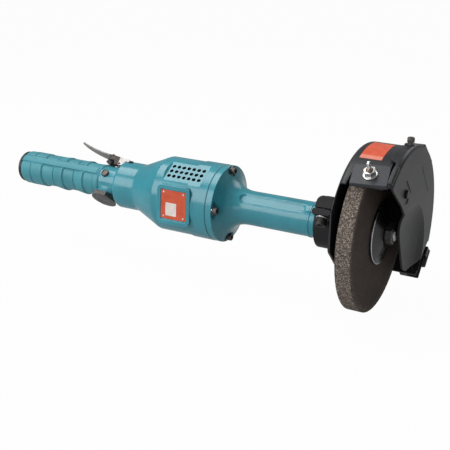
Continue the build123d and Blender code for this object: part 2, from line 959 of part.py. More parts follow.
def nose_housing():
    turn = math.asin(flare_run / flare_radius) / 2
    mid_x = x_neck - flare_radius * math.sin(turn)
    mid_r = neck_r + flare_radius * (1 - math.cos(turn))
    outline = [
        Polyline(
            (x_spigot, coupling_cavity_r),
            (x_spigot, motor_bore_r - slip_clear),
            (x_flange, motor_bore_r - slip_clear),
            (x_flange, flange_r),
            (x_front - 1, flange_r),
            (x_front, flange_rim_r),
            (x_flare, flare_top_r),
        ),
        ThreePointArc((x_flare, flare_top_r), (mid_x, mid_r), (x_neck, neck_r)),
        Polyline(
            (x_neck, neck_r),
            *nose_rings(),
            (x_nose - nose_step, neck_r),
            (x_nose, nose_r),
            (x_nose_end, nose_r),
            (x_nose_end, spindle_bearing_r),
            (x_bearing, spindle_bearing_r),
            (x_bearing, spindle_bore_r),
            (x_coupling_end + coupling_room, spindle_bore_r),
            (x_coupling_end + coupling_room, coupling_cavity_r),
            (x_spigot, coupling_cavity_r),
        ),
    ]
    body = revolve(make_face(outline), Axis.X)
    for place in screw_places():
        body -= spot_face(place)
        body -= rod_x(screw_r + slip_clear, x_flange, x_front, *place)
    for angle in (recess_deg, 180 - recess_deg):
        body -= neck_recess(angle)
    return body


def nose_rings():
    """Corners of the low rings round the neck in front of the clamp."""
    corners = []
    for back in nose_ring_backs:
        start = x_nose - back
        end = start + nose_ring_l
        corners.append((start, neck_r))
        corners.append((start + nose_ring_h, neck_r + nose_ring_h))
        corners.append((end - nose_ring_h, neck_r + nose_ring_h))
        corners.append((end, neck_r))
    return corners


def spot_face(place):
    """Lens-shaped seat for a screw, long around the flange and narrow towards the axis."""
    half_l = spot_face_l / 2
    half_w = spot_face_w / 2
    radius = (half_l**2 + half_w**2) / (2 * half_w)
    shift = (radius - half_w) / math.hypot(*place)
    start = x_front - seat_depth
    outer = rod_x(radius, start, x_neck, place[0] * (1 + shift), place[1] * (1 + shift))
    inner = rod_x(radius, start, x_neck, place[0] * (1 - shift), place[1] * (1 - shift))
    return outer & inner


def neck_recess(angle):
    """Long oval flat sunk into the neck's upper side, running out into the flare."""
    middle = x_neck + recess_from_neck + recess_l / 2
    scoop = extrude(SlotOverall(recess_l, recess_w), flare_top_r)
    return at_angle(angle) * (Pos(middle, 0, neck_r - recess_depth) * scoop)


def bearing_cap():
    start = x_nose_end - bearing_cap_l
    return ring_x(spindle_bearing_r - press_clear, spindle_collar_r + part_gap, start, x_nose_end)


# Spindle and wheel


def drive_coupling():
    sleeve = rod_x(coupling_r, x_coupling, x_coupling_end)
    sleeve -= rod_x(shaft_r + press_clear, x_coupling, x_coupling + coupling_shaft_l)
    sleeve -= rod_x(spindle_tail_r + press_clear, x_coupling_end - spindle_tail_l, x_coupling_end)
    return sleeve


def spindle():
    collar_start = x_bearing + spindle_bearing_w
    return turned(
        (x_coupling_end - spindle_tail_l, 0),
        (x_coupling_end - spindle_tail_l, spindle_tail_r),
        (x_coupling_end, spindle_tail_r),
        (x_coupling_end, spindle_r),
        (collar_start, spindle_r),
        (collar_start, spindle_collar_r),
        (x_inner_flange, spindle_collar_r),
        (x_inner_flange, spindle_thread_r),
        (x_spindle_end - 1, spindle_thread_r),
        (x_spindle_end, spindle_thread_r - 1),
        (x_spindle_end, 0),
    )


def inner_flange():
    face = x_inner_flange + inner_flange_t
    bore = spindle_thread_r + press_clear
    return turned(
        (x_inner_flange, bore),
        (x_inner_flange, flange_hub_r),
        (face - flange_rim_t, wheel_flange_r),
        (face, wheel_flange_r),
        (face, flange_relief_r),
        (face - flange_relief_d, flange_relief_r),
        (face - flange_relief_d, bore),
    )


def outer_flange():
    bore = spindle_thread_r + press_clear
    return turned(
        (x_outer_flange + flange_relief_d, bore),
        (x_outer_flange + flange_relief_d, flange_relief_r),
        (x_outer_flange, flange_relief_r),
        (x_outer_flange, wheel_flange_r),
        (x_outer_flange + flange_rim_t, wheel_flange_r),
        (x_nut, flange_hub_r),
        (x_nut, bore),
    )


def blotters():
    rings = []
    for start in (x_wheel - blotter_t, x_wheel_face):
        rings.append(ring_x(wheel_flange_r, spindle_thread_r + slip_clear, start, start + blotter_t))
    return Compound(children=rings)


def grinding_wheel():
    bore = spindle_thread_r + slip_clear
    return turned(
        (x_wheel, bore),
        (x_wheel, wheel_r - wheel_chamfer),
        (x_wheel + wheel_chamfer, wheel_r),
        (x_wheel_face - wheel_chamfer, wheel_r),
        (x_wheel_face, wheel_r - wheel_chamfer),
        (x_wheel_face, bore),
    )


def spindle_nut():
    return hex_x(nut_af, x_nut, x_nut + nut_t) - rod_x(spindle_thread_r + press_clear, x_nut, x_nut + nut_t)


# Guard body, modelled upright and then leaned back


def guard_back_plate():
    """Disc cut by a chord below the axis and one at each lower corner, with a hole for the nose."""
    outline = Circle(guard_r) & Pos(0, guard_r - guard_chord) * Rectangle(4 * guard_r, 2 * guard_r)
    for turn in (-guard_corner_turn, guard_corner_turn):
        kept = Pos(0, guard_r - guard_corner_chord) * Rectangle(4 * guard_r, 2 * guard_r)
        outline &= Rot(0, 0, turn) * kept
    corners = [vertex for vertex in outline.vertices() if vertex.Y < 1 - guard_chord]
    outline = fillet(corners, guard_chord_corner)
    plate = side_plane(x_plate) * extrude(outline, guard_sheet)
    plate -= rod_x(nose_r + run_clear, x_plate, x_drum)
    return on_guard(plate)


def clamp_ear(front, low, high):
    """Plain ear, level before it is lifted."""
    end = x_clamp + clamp_ear_from_end
    return block(end, end + clamp_ear_l, -front, 0, low, high)


def long_edges(ear):
    """The ear's edges along its reach, highest last."""
    return ear.edges().filter_by(Axis.Y).sort_by(Axis.Z)


def clamp_bar(radius, low, high):
    """Round bar on the clamp screw's axis, level before it is lifted."""
    return rod_z(radius, low, high, x_clamp_screw, -clamp_screw_y)


def guard_collar():
    """Split clamp round the nose, with two ears that a screw draws together."""
    upper_low = clamp_gap_z + clamp_gap
    ear_top = upper_low + clamp_upper_h
    ear_bottom = clamp_gap_z - clamp_lower_h
    upper = clamp_ear(clamp_upper_y, upper_low, ear_top)
    upper = fillet(long_edges(upper)[-2:], clamp_upper_edge)
    upper = fillet(upper.edges().group_by(Axis.Y)[0].sort_by(Axis.Z)[1:], clamp_front_edge)
    lower = clamp_ear(clamp_ear_y, ear_bottom, clamp_gap_z)
    lower = fillet(long_edges(lower), clamp_lower_edge)
    body = rod_x(clamp_r, x_clamp, x_plate) + on_clamp(upper) + on_clamp(lower)
    body -= rod_x(nose_r + run_clear, x_clamp - 1, x_plate + 1)
    slit = block(x_clamp - 1, x_plate + 1, -2 * clamp_ear_y, -nose_r / 2, clamp_gap_z, upper_low)
    body -= on_clamp(slit)
    return body - on_clamp(clamp_bar(clamp_screw_r + slip_clear, ear_bottom, ear_top - clamp_upper_edge))


def clamp_screw():
    seat = clamp_gap_z - clamp_lower_h - clamp_washer_t
    end = clamp_gap_z + clamp_gap + clamp_upper_h - clamp_upper_edge - 1
    screw = clamp_bar(clamp_head_r, seat - clamp_head_h, seat) + clamp_bar(clamp_screw_r, seat, end)
    low = seat - clamp_head_h
    screw -= hex_z(clamp_socket_af, low, low + clamp_head_h / 2, x_clamp_screw, -clamp_screw_y)
    return on_clamp(screw)


def clamp_washer():
    seat = clamp_gap_z - clamp_lower_h
    washer = clamp_bar(clamp_washer_r, seat - clamp_washer_t, seat)
    return on_clamp(washer - clamp_bar(clamp_screw_r + slip_clear, seat - clamp_washer_t, seat))


def stud_axis_solid(radius, start, end):
    """Round bar along the tongue's stud, upright before it is turned to the tongue's angle."""
    return rod_z(radius, start, end, x_tongue + tongue_w / 2, -stud_down)


def to_tongue(solid):
    """Move a piece drawn at the guard's top to the tongue at its front end."""
    return on_guard(at_angle(tongue_deg) * solid)


def askew(solid):
    """Turn the tongue a little about its stud."""
    place = Pos(x_tongue + tongue_w / 2, -stud_down, 0)
    return place * Rot(0, 0, tongue_turn) * place.inverse() * solid


def guard_drum():
    """Half-round band, with a tab under the cover's skirt that takes the cover screw."""
    reach = 2 * guard_r
    band = ring_x(guard_r, guard_r - guard_sheet, x_drum, x_split)
    band -= block(x_drum, x_split, -reach, 0, -reach, drum_front_w)
    band -= block(x_drum, x_split, 0, reach, -reach, drum_rear_w)
    foot = ring_x(guard_r, guard_r - guard_sheet, x_split - 1, x_split + drum_foot_l)
    band += foot & block(x_drum, x_cover, 0, reach, drum_rear_w, cover_front_w - part_gap)
    tab = ring_x(guard_r, guard_r - guard_sheet, x_split - guard_sheet, x_split + cover_tab_l)
    wedge = block(x_drum, x_cover, -cover_tab_w / 2, cover_tab_w / 2, 0, 2 * guard_r)
    band += tab & (at_angle(cover_screw_deg) * wedge)
    screw_hole = rod_z(cover_screw_r, 0, 2 * guard_r, x_split + cover_screw_x)
    band -= at_angle(cover_screw_deg) * screw_hole
    band = on_guard(band)
    gap_corners = [(x_tongue + along, across) for along, across in tongue_gap_corners]
    gap = extrude(make_face(Polyline(*gap_corners, close=True)), 2 * guard_r)
    band -= to_tongue(gap)
    return band - to_tongue(stud_axis_solid(stud_r + press_clear, guard_r / 2, 2 * guard_r))


def guard_label():
    """Blank strip on the drum."""
    start = x_drum + label_from_plate
    seat = guard_r + run_clear
    strip = ring_x(seat + label_t, seat, start, start + label_w)
    middle = (label_start_deg + label_end_deg) / 2
    half_w = guard_r * math.sin(math.radians((label_end_deg - label_start_deg) / 2))
    wedge = block(start, start + label_w, -half_w, half_w, guard_r / 2, 2 * guard_r)
    return on_guard(strip & (at_angle(middle) * wedge))


def tongue_plate():
    """Flat plate touching the drum near its top edge, with a lip bent in at its lower edge."""
    x0 = x_tongue
    x1 = x_tongue + tongue_w
    seat = guard_r + part_gap
    plate = block(x0, x1, -tongue_down, tongue_up, seat, seat + tongue_t)
    plate += block(x0, x1, -tongue_down, -tongue_down + tongue_t, seat - tongue_lip, seat)
    slot_w = 2 * (stud_r + tongue_slot_play)
    slot_low = -stud_down - tongue_slide_up
    slot_high = -stud_down + tongue_slide_down
    slot = block(
        (x0 + x1 - slot_w) / 2, (x0 + x1 + slot_w) / 2, slot_low, slot_high, seat - 1, seat + tongue_t + 1
    )
    for end in (slot_low, slot_high):
        slot += rod_z(slot_w / 2, seat - 1, seat + tongue_t + 1, (x0 + x1) / 2, end)
    return to_tongue(askew(plate - slot))


def tongue_stud():
    """Stud with a slim drilled end past its nut."""
    base = math.sqrt((guard_r - guard_sheet) ** 2 - stud_down**2)
    shoulder = stud_washer_seat() + stud_washer_t + stud_nut_t + stud_past_nut
    end = base + guard_sheet + stud_l
    stud = stud_axis_solid(stud_r, base, shoulder) + stud_axis_solid(stud_tip_r, base, end)
    eye_start = -stud_down - stud_r
    eye_end = -stud_down + stud_r
    stud -= rod_y(stud_eye_r, eye_start, eye_end, x_tongue + tongue_w / 2, end - stud_eye_down)
    return to_tongue(stud)


def stud_washer_seat():
    return guard_r + part_gap + tongue_t + slip_clear


def tongue_washer():
    seat = stud_washer_seat()
    washer = stud_axis_solid(stud_washer_r, seat, seat + stud_washer_t)
    return to_tongue(washer - stud_axis_solid(stud_r + press_clear, seat, seat + stud_washer_t))


def tongue_nut():
    seat = stud_washer_seat() + stud_washer_t
    nut = hex_z(stud_nut_af, seat, seat + stud_nut_t, x_tongue + tongue_w / 2, -stud_down)
    return to_tongue(nut - stud_axis_solid(stud_r + press_clear, seat, seat + stud_nut_t))


# Guard cover


def cover_edge():
    """All that lies above the cover's lower edge, which dips under the spindle."""
    reach = 2 * cover_skirt_r
    corners = guard_places(cover_corner_shares)
    rear_w = corners[-1][1]
    lower_edge = [(-reach, cover_front_w), *corners, (reach, rear_w)]
    return make_face(Polyline(*lower_edge, (reach, reach), (-reach, reach), close=True))


def cover_cup():
    """Flat face turned into a skirt round a rounded rim."""
    start = x_split - cover_lap
    bend_x = x_cover - cover_bend
    bend_r = cover_skirt_r - cover_bend
    inside_x = x_cover - guard_sheet
    slant = math.sqrt(0.5)
    outer = cover_bend * slant
    inner = (cover_bend - guard_sheet) * slant
    outline = [
        Polyline((inside_x, 0), (x_cover, 0), (x_cover, bend_r)),
        ThreePointArc((x_cover, bend_r), (bend_x + outer, bend_r + outer), (bend_x, cover_skirt_r)),
        Polyline(
            (bend_x, cover_skirt_r),
            (start, cover_skirt_r),
            (start, cover_skirt_in),
            (bend_x, cover_skirt_in),
        ),
        ThreePointArc((bend_x, cover_skirt_in), (bend_x + inner, bend_r + inner), (inside_x, bend_r)),
        Line((inside_x, bend_r), (inside_x, 0)),
    ]
    return revolve(make_face(outline), Axis.X)


def dish_centre():
    dish_r = dish_r_share * guard_r
    radius = (dish_r**2 + dish_depth**2) / (2 * dish_depth)
    across, up = dish_place_shares
    return radius, Pos(x_cover + radius - dish_depth, across * guard_r, up * guard_r)


def face_crease():
    """Straight line pressed into the cover's face."""
    (u0, w0), (u1, w1) = guard_places(crease_end_shares)
    length = math.hypot(u1 - u0, w1 - w0)
    lean = math.degrees(math.atan2(w1 - w0, u1 - u0))
    groove = Box(2 * crease_d, length, crease_w)
    return Pos(x_cover, (u0 + u1) / 2, (w0 + w1) / 2) * Rot(lean, 0, 0) * groove


def skirt_rib():
    """Raised end of the skirt beside the tongue."""
    start = x_tongue + tongue_w + tongue_side_gap
    end = x_cover - 1
    middle = (rib_start_deg + rib_end_deg) / 2
    half_w = cover_skirt_r * math.sin(math.radians((rib_end_deg - rib_start_deg) / 2))
    rib = ring_x(cover_skirt_r + rib_h, cover_skirt_in + 1, start, end)
    return rib & (at_angle(middle) * block(start, end, -half_w, half_w, guard_r / 2, 2 * guard_r))


def guard_cover():
    """Cover face with a dish pressed in over the spindle, a skirt over the drum and a pull tab."""
    radius, centre = dish_centre()
    reach = 2 * guard_r
    bend_x = x_cover - cover_bend
    kept = side_plane(bend_x) * extrude(cover_edge(), cover_bend)
    kept += block(x_drum, bend_x, -reach, reach, cover_front_w, reach)
    cover = cover_cup() & kept
    deep = dish_depth + guard_sheet
    prism = side_plane(x_cover - deep) * extrude(cover_edge() & Circle(cover_skirt_r - cover_bend), deep)
    shell = (centre * Sphere(radius + guard_sheet)) - (centre * Sphere(radius))
    cover -= centre * Sphere(radius)
    cover += shell & prism
    cover -= block(x_split - cover_lap, x_split + part_gap, lap_relief_share * guard_r, reach, 0, reach)
    notch_low = -tongue_down - tongue_notch_low
    notch_high = tongue_up + tongue_notch_high
    notch = block(x_drum, x_tongue + tongue_w + tongue_side_gap, notch_low, notch_high, guard_r / 2, reach)
    cover -= at_angle(tongue_deg) * notch
    cover += skirt_rib()
    cover -= screw_slot()
    cover += at_angle(pull_deg) * block(
        x_split + part_gap, x_split + pull_w - part_gap, -pull_back, pull_l - pull_back,
        cover_skirt_r - pull_sink, cover_skirt_r - pull_sink + pull_t,
    )
    dimple = make_face(Polyline(*guard_places(dimple_corner_shares), close=True))
    cover -= side_plane(x_cover - dimple_depth) * extrude(dimple, dimple_depth)
    cover -= face_crease()
    cover -= rod_x(stiffener_screw_r + slip_clear, x_cover - deep, x_cover, *stiffener_place())
    cover += cover_knuckle()
    return on_guard(cover)


def screw_slot():
    """Slot in the skirt, open towards the drum, that slides from under the cover screw."""
    half = cover_screw_r + cover_slot_play
    reach = 2 * guard_r
    slot = block(x_split - cover_lap, x_split + cover_screw_x, -half, half, guard_r / 2, reach)
    slot += rod_z(half, guard_r / 2, reach, x_split + cover_screw_x)
    return at_angle(cover_screw_deg) * slot


def cover_screw():
    """Socket screw through the skirt into the drum's tab."""
    x = x_split + cover_screw_x
    seat = cover_skirt_r + cover_screw_lift
    screw = rod_z(cover_screw_head_r, seat, seat + cover_screw_head_h, x)
    screw += rod_z(cover_screw_r - slip_clear, guard_r - guard_sheet, seat, x)
    screw -= hex_z(cover_screw_head_r, seat + cover_screw_head_h / 2, seat + cover_screw_head_h, x)
    return on_guard(at_angle(cover_screw_deg) * screw)


def stiffener_place():
    across, up = stiffener_screw_shares
    return across * guard_r, up * guard_r


def cover_stiffener():
    """Flat bar inside the cover along its front edge."""
    u, w = stiffener_place()
    end = x_cover - guard_sheet
    bar = block(
        end - stiffener_t, end, u - stiffener_front, u + stiffener_rear,
        w - stiffener_h / 2, w + stiffener_h / 2,
    )
    return on_guard(bar - rod_x(stiffener_screw_r + slip_clear, end - stiffener_t, end, u, w))


def stiffener_screw():
    u, w = stiffener_place()
    face = x_cover - dimple_depth
    screw = rod_x(stiffener_head_r, face, face + stiffener_head_h, u, w)
    screw += rod_x(stiffener_screw_r, x_cover - guard_sheet - stiffener_t, face, u, w)
    return on_guard(screw)


# Hinge


def knuckle(start, length):
    return rod_z(knuckle_r, start, start + length, hinge_x, hinge_u)


def cover_knuckle():
    """Hinge knuckle on the cover's skirt."""
    start = guard_knuckle_low + guard_knuckle_l + knuckle_gap
    leaf = block(
        x_split + 1, x_cover, cover_skirt_in - knuckle_r, hinge_u, start, start + cover_knuckle_l
    )
    return leaf + knuckle(start, cover_knuckle_l) - hinge_bore(run_clear)


def hinge_bore(clearance):
    return rod_z(hinge_pin_r + clearance, -guard_r, guard_r, hinge_x, hinge_u)


def hinge_leaf():
    """Strap from the drum's outside to the fixed knuckle, standing clear of the skirt."""
    low = guard_knuckle_low
    high = low + guard_knuckle_l
    strap_in = cover_skirt_r + part_gap
    strap = block(x_split - hinge_pad_l, hinge_x, strap_in, strap_in + hinge_strap_t, drum_rear_w, high)
    pad_end = x_split - cover_lap - 1
    pad = block(x_split - hinge_pad_l, pad_end, guard_r / 2, strap_in + 1, drum_rear_w, high)
    pad -= rod_x(guard_r, x_drum, x_split)
    leaf = strap + pad + knuckle(low, guard_knuckle_l)
    return on_guard(leaf - hinge_bore(0.0))


def hinge_pin():
    low = guard_knuckle_low - 1
    high = guard_knuckle_low + guard_knuckle_l + knuckle_gap + cover_knuckle_l + 1
    return on_guard(rod_z(hinge_pin_r, low, high, hinge_x, hinge_u))


rear_bearing = (x_motor, rotor_bearing_w, rotor_bearing_r, shaft_r)
front_bearing = (x_spigot - rotor_bearing_w, rotor_bearing_w, rotor_bearing_r, shaft_r)
nose_bearing = (x_bearing, spindle_bearing_w, spindle_bearing_r, spindle_r)

nodes = {
    "inlet_bushing": inlet_bushing(),
    "inlet_screen": inlet_screen(),
    "grip_sleeve": grip_sleeve(),
    "handle_casting": handle_casting(),
    "valve_bushing": valve_bushing(),
    "valve_stem": valve_stem(),
    "valve_spring": valve_spring(),
    "valve_cap": valve_cap(),
    "valve_cap_seal": valve_cap_seal(),
    "regulator_dial": regulator_dial(),
    "throttle_lever": throttle_lever(),
    "lever_pin": lever_pin(),
    "lock_tab": lock_tab(),
    "lock_pin": lock_pin(),
    "motor_housing": motor_housing(),
    "nameplate": nameplate(),
    "nameplate_rivets": nameplate_rivets(),
    "oil_plug": oil_plug(),
    "housing_gasket": housing_gasket(),
    "flange_screws": flange_screws(),
    "lock_washers": lock_washers(),
    "rear_end_plate": rear_end_plate(),
    "front_end_plate": front_end_plate(),
    "motor_cylinder": motor_cylinder(),
    "exhaust_silencer": exhaust_silencer(),
    "rear_bearing_outer": bearing_outer(*rear_bearing),
    "rear_bearing_inner": bearing_inner(*rear_bearing),
    "front_bearing_outer": bearing_outer(*front_bearing),
    "front_bearing_inner": bearing_inner(*front_bearing),
    "rotor": rotor(),
    "vanes": vanes(),
    "nose_housing": nose_housing(),
    "spindle_bearing_outer": bearing_outer(*nose_bearing),
    "spindle_bearing_inner": bearing_inner(*nose_bearing),
    "bearing_cap": bearing_cap(),
    "drive_coupling": drive_coupling(),
    "spindle": spindle(),
    "inner_flange": inner_flange(),
    "outer_flange": outer_flange(),
    "blotters": blotters(),
    "grinding_wheel": grinding_wheel(),
    "spindle_nut": spindle_nut(),
    "guard_back_plate": guard_back_plate(),
    "guard_collar": guard_collar(),
    "clamp_screw": clamp_screw(),
    "clamp_washer": clamp_washer(),
    "guard_drum": guard_drum(),
    "guard_label": guard_label(),
    "tongue_plate": tongue_plate(),
    "tongue_stud": tongue_stud(),
    "tongue_washer": tongue_washer(),
    "tongue_nut": tongue_nut(),
    "guard_cover": guard_cover(),
    "cover_screw": cover_screw(),
    "cover_stiffener": cover_stiffener(),
    "stiffener_screw": stiffener_screw(),
    "hinge_leaf": hinge_leaf(),
    "hinge_pin": hinge_pin(),
}

for name, solid in nodes.items():
    export_step(solid, f"parts/{name}.step")
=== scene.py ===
import json
import math

import bmesh
import bpy
from mathutils import Matrix, Vector, noise


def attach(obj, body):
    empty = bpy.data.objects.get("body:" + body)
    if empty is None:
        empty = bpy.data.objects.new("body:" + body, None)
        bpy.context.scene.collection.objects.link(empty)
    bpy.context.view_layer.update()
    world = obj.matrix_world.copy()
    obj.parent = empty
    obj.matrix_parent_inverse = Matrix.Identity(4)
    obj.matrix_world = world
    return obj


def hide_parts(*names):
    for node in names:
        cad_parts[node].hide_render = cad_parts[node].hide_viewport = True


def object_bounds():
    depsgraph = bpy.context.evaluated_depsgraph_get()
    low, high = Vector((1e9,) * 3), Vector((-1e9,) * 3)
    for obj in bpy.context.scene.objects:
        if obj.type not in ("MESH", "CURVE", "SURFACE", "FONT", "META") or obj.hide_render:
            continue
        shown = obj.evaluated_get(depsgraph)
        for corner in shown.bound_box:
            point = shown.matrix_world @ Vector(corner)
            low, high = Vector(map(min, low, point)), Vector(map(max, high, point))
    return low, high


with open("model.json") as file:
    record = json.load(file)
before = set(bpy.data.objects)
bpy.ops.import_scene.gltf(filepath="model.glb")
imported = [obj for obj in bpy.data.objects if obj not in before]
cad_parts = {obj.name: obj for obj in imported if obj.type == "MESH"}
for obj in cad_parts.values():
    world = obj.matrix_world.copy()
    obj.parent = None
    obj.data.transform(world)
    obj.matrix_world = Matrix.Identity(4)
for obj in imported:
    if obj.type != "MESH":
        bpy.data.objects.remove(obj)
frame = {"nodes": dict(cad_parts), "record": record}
cad_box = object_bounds()
nodes = frame["nodes"]
record = frame["record"]
body_with = {node: body for body, members in record["behaviour"]["bodies"].items() for node in members}
slot_of = {part["node"]: part["material_slot"] for part in record["subparts"]}

MM = 0.001
TURN = 2 * math.pi

# Turns about the tool's axis, in degrees

LEAN = -42
DIAL_TURN = 45
VENT_TURN = 35
CLAMP_TURN = -35
TONGUE_TURN = 31
COVER_SCREW_TURN = 1.5

# The grip's strips, in degrees up from the front

STRIP_TURNS = (48, 132)

# Places and heights that several pieces share, in millimetres

SEAT_FACE = 348.2
SCREW_CIRCLE = 45.5
FLANGE_FACE = 569.55
TONGUE_FACE = 112.1
TONGUE_WASHER = 1.6
TONGUE_NUT = 6.5


# Shader maths


class Value:
    """A socket that takes part in Python expressions."""

    def __init__(self, owner, socket):
        self.owner = owner
        self.socket = socket

    def maths(self, operation, first, second=0.0, clamp=False):
        settings = {"operation": operation, "use_clamp": clamp}
        return self.owner.node("ShaderNodeMath", settings, {0: first, 1: second})

    def __add__(self, other):
        return self.maths("ADD", self, other)

    __radd__ = __add__

    def __sub__(self, other):
        return self.maths("SUBTRACT", self, other)

    def __rsub__(self, other):
        return self.maths("SUBTRACT", other, self)

    def __mul__(self, other):
        return self.maths("MULTIPLY", self, other)

    def __truediv__(self, other):
        return self.maths("DIVIDE", self, other)

    def __pow__(self, other):
        return self.maths("POWER", self, other)

    def root(self):
        return self.maths("SQRT", self)

    def clamped(self):
        return self.maths("ADD", self, 0.0, True)


class ShaderNodes:
    """A node tree whose nodes are made by one method."""

    def __init__(self, tree):
        self.tree = tree

    def join(self, target, value):
        if isinstance(value, Value):
            self.tree.links.new(value.socket, target)
        elif isinstance(value, tuple) and len(value) == 3 and len(target.default_value) == 4:
            target.default_value = (*value, 1.0)
        else:
            target.default_value = value

    def node(self, kind, settings=None, inputs=None, output=0):
        made = self.tree.nodes.new(kind)
        for key, value in (settings or {}).items():
            if key == "stops":
                self.stops(made.color_ramp, value)
            else:
                setattr(made, key, value)
        for key, value in (inputs or {}).items():
            self.join(made.inputs[key], value)
        return Value(self, made.outputs[output])

    def stops(self, ramp, stops):
        while len(ramp.elements) < len(stops):
            ramp.elements.new(0.5)
        for element, (place, colour) in zip(ramp.elements, stops):
            element.position = place
            element.color = (*colour, 1.0)

    def background_rays(self, mirrored):
        """1 for the rays that see the background itself, and a share for its reflections."""
        seen = self.node("ShaderNodeLightPath", output="Is Camera Ray")
        return seen + self.node("ShaderNodeLightPath", output="Is Glossy Ray") * mirrored


class Finish(ShaderNodes):
    """A material on one Principled shader."""

    def __init__(self, name, colour, roughness, metallic=0.0, **fixed):
        self.material = bpy.data.materials.new(name)
        self.material.use_nodes = True
        super().__init__(self.material.node_tree)
        self.coordinates = None
        self.shader = self.tree.nodes["Principled BSDF"]
        self.set("Base Color", colour)
        self.set("Roughness", roughness)
        self.set("Metallic", metallic)
        for socket, value in fixed.items():
            self.set(socket.replace("_", " "), value)

    def set(self, socket, value):
        self.join(self.shader.inputs[socket], value)

    def place(self):
        if self.coordinates is None:
            self.coordinates = self.node("ShaderNodeTexCoord", output="Object")
        return self.coordinates

    def mapped(self, scale=(1, 1, 1), turn=(0, 0, 0)):
        inputs = {"Vector": self.place(), "Rotation": turn, "Scale": scale}
        return self.node("ShaderNodeMapping", None, inputs)

    def axes(self, vector=None):
        split = self.node("ShaderNodeSeparateXYZ", None, {0: vector or self.place()})
        return [Value(self, socket) for socket in split.socket.node.outputs]

    def noise(self, scale, detail, roughness=0.55, vector=None):
        place = vector or self.place()
        inputs = {"Vector": place, "Scale": scale, "Detail": detail, "Roughness": roughness}
        return self.node("ShaderNodeTexNoise", None, inputs)

    def cells(self, scale, output="Distance"):
        inputs = {"Vector": self.place(), "Scale": scale}
        return self.node("ShaderNodeTexVoronoi", None, inputs, output)

    def cell_tone(self, scale):
        """A number of its own for each grain."""
        return self.node("ShaderNodeSeparateColor", None, {0: self.cells(scale, output="Color")})

    def ramp(self, factor, *stops):
        return self.node("ShaderNodeValToRGB", {"stops": stops}, {0: factor})

    def mix(self, factor, first, second):
        """Mix two colours, by socket number because the node repeats its sockets' names."""
        return self.node("ShaderNodeMix", {"data_type": "RGBA"}, {0: factor, 6: first, 7: second}, 2)

    def bump(self, height, distance, strength):
        inputs = {"Height": height, "Distance": distance, "Strength": strength}
        self.set("Normal", self.node("ShaderNodeBump", None, inputs))


# Finishes

# How fast one tone gives way to the next, per metre
BORDER = 900.0


def enamel(name, deep, colour, pale, roughness, grain, peel, gloss=0.5):
    """Satin paint: slow drifts of colour, fine flecks and the skin of a sprayed coat."""
    finish = Finish(name, colour, roughness, Specular_IOR_Level=gloss)
    drift = finish.noise(24.0, 4.0, 0.6)
    flecks = finish.noise(1300.0, 2.0, 0.6)
    tone = finish.ramp(drift, (0.3, deep), (0.5, colour), (0.72, pale))
    finish.set("Base Color", finish.mix(((flecks - 0.6) * 2.0).clamped(), tone, pale))
    finish.set("Roughness", roughness + (drift - 0.5) * 0.14 + (flecks - 0.5) * 0.08)
    skin = finish.noise(480.0, 2.0, 0.5) * peel + finish.noise(2000.0, 2.0, 0.6) * grain
    finish.bump(skin, 0.00012, 0.25)
    return finish


def oxide(name, dark, colour, roughness):
    """Black oxide on machined steel: turning marks and a thin brown cast."""
    finish = Finish(name, colour, roughness, 0.7)
    drift = finish.noise(140.0, 3.0, 0.6)
    marks = finish.noise(900.0, 2.0, 0.5, finish.mapped((1, 1, 6)))
    finish.set("Base Color", finish.ramp(drift * 0.6 + marks * 0.4, (0.35, dark), (0.7, colour)))
    finish.set("Roughness", roughness + (marks - 0.5) * 0.3)
    finish.bump(marks, 0.00006, 0.5)
    return finish


def bare_metal(name, dark, colour, roughness, grain):
    """Plated or ground steel and brass, with fine lines and dulled patches."""
    finish = Finish(name, colour, roughness, 1.0)
    lines = finish.noise(700.0, 2.0, 0.6, finish.mapped(grain))
    patches = finish.noise(110.0, 4.0, 0.65)
    finish.set("Base Color", finish.ramp(lines * 0.45 + patches * 0.55, (0.34, dark), (0.62, colour)))
    finish.set("Roughness", roughness + (patches - 0.5) * 0.35 + (lines - 0.5) * 0.2)
    finish.bump(lines, 0.00005, 0.4)
    return finish


def lever_finish():
    """Lever: grey blade, darker brown-black towards the pivot end and bright side plates."""
    finish = Finish("lever_steel", (0.26, 0.25, 0.24), 0.42, 0.9)
    x = finish.axes()[0]
    pivot_x = 0.1405
    plate_x = 0.1605
    lines = finish.noise(420.0, 2.0, 0.6, finish.mapped((0.25, 3, 3)))
    patches = finish.noise(160.0, 4.0, 0.65)
    tone = lines * 0.4 + patches * 0.6
    blade = finish.ramp(tone, (0.34, (0.15, 0.145, 0.14)), (0.66, (0.3, 0.29, 0.28)))
    dark = finish.ramp(tone, (0.34, (0.03, 0.026, 0.024)), (0.66, (0.1, 0.088, 0.08)))
    plate = finish.ramp(tone, (0.34, (0.3, 0.285, 0.28)), (0.66, (0.52, 0.5, 0.49)))
    pivot_end = ((x - pivot_x) * BORDER).clamped()
    side_plate = ((x - plate_x) * BORDER).clamped()
    finish.set("Base Color", finish.mix(side_plate, finish.mix(pivot_end, blade, dark), plate))
    finish.set("Roughness", 0.38 + patches * 0.16)
    finish.bump(lines, 0.00003, 0.2)
    return finish


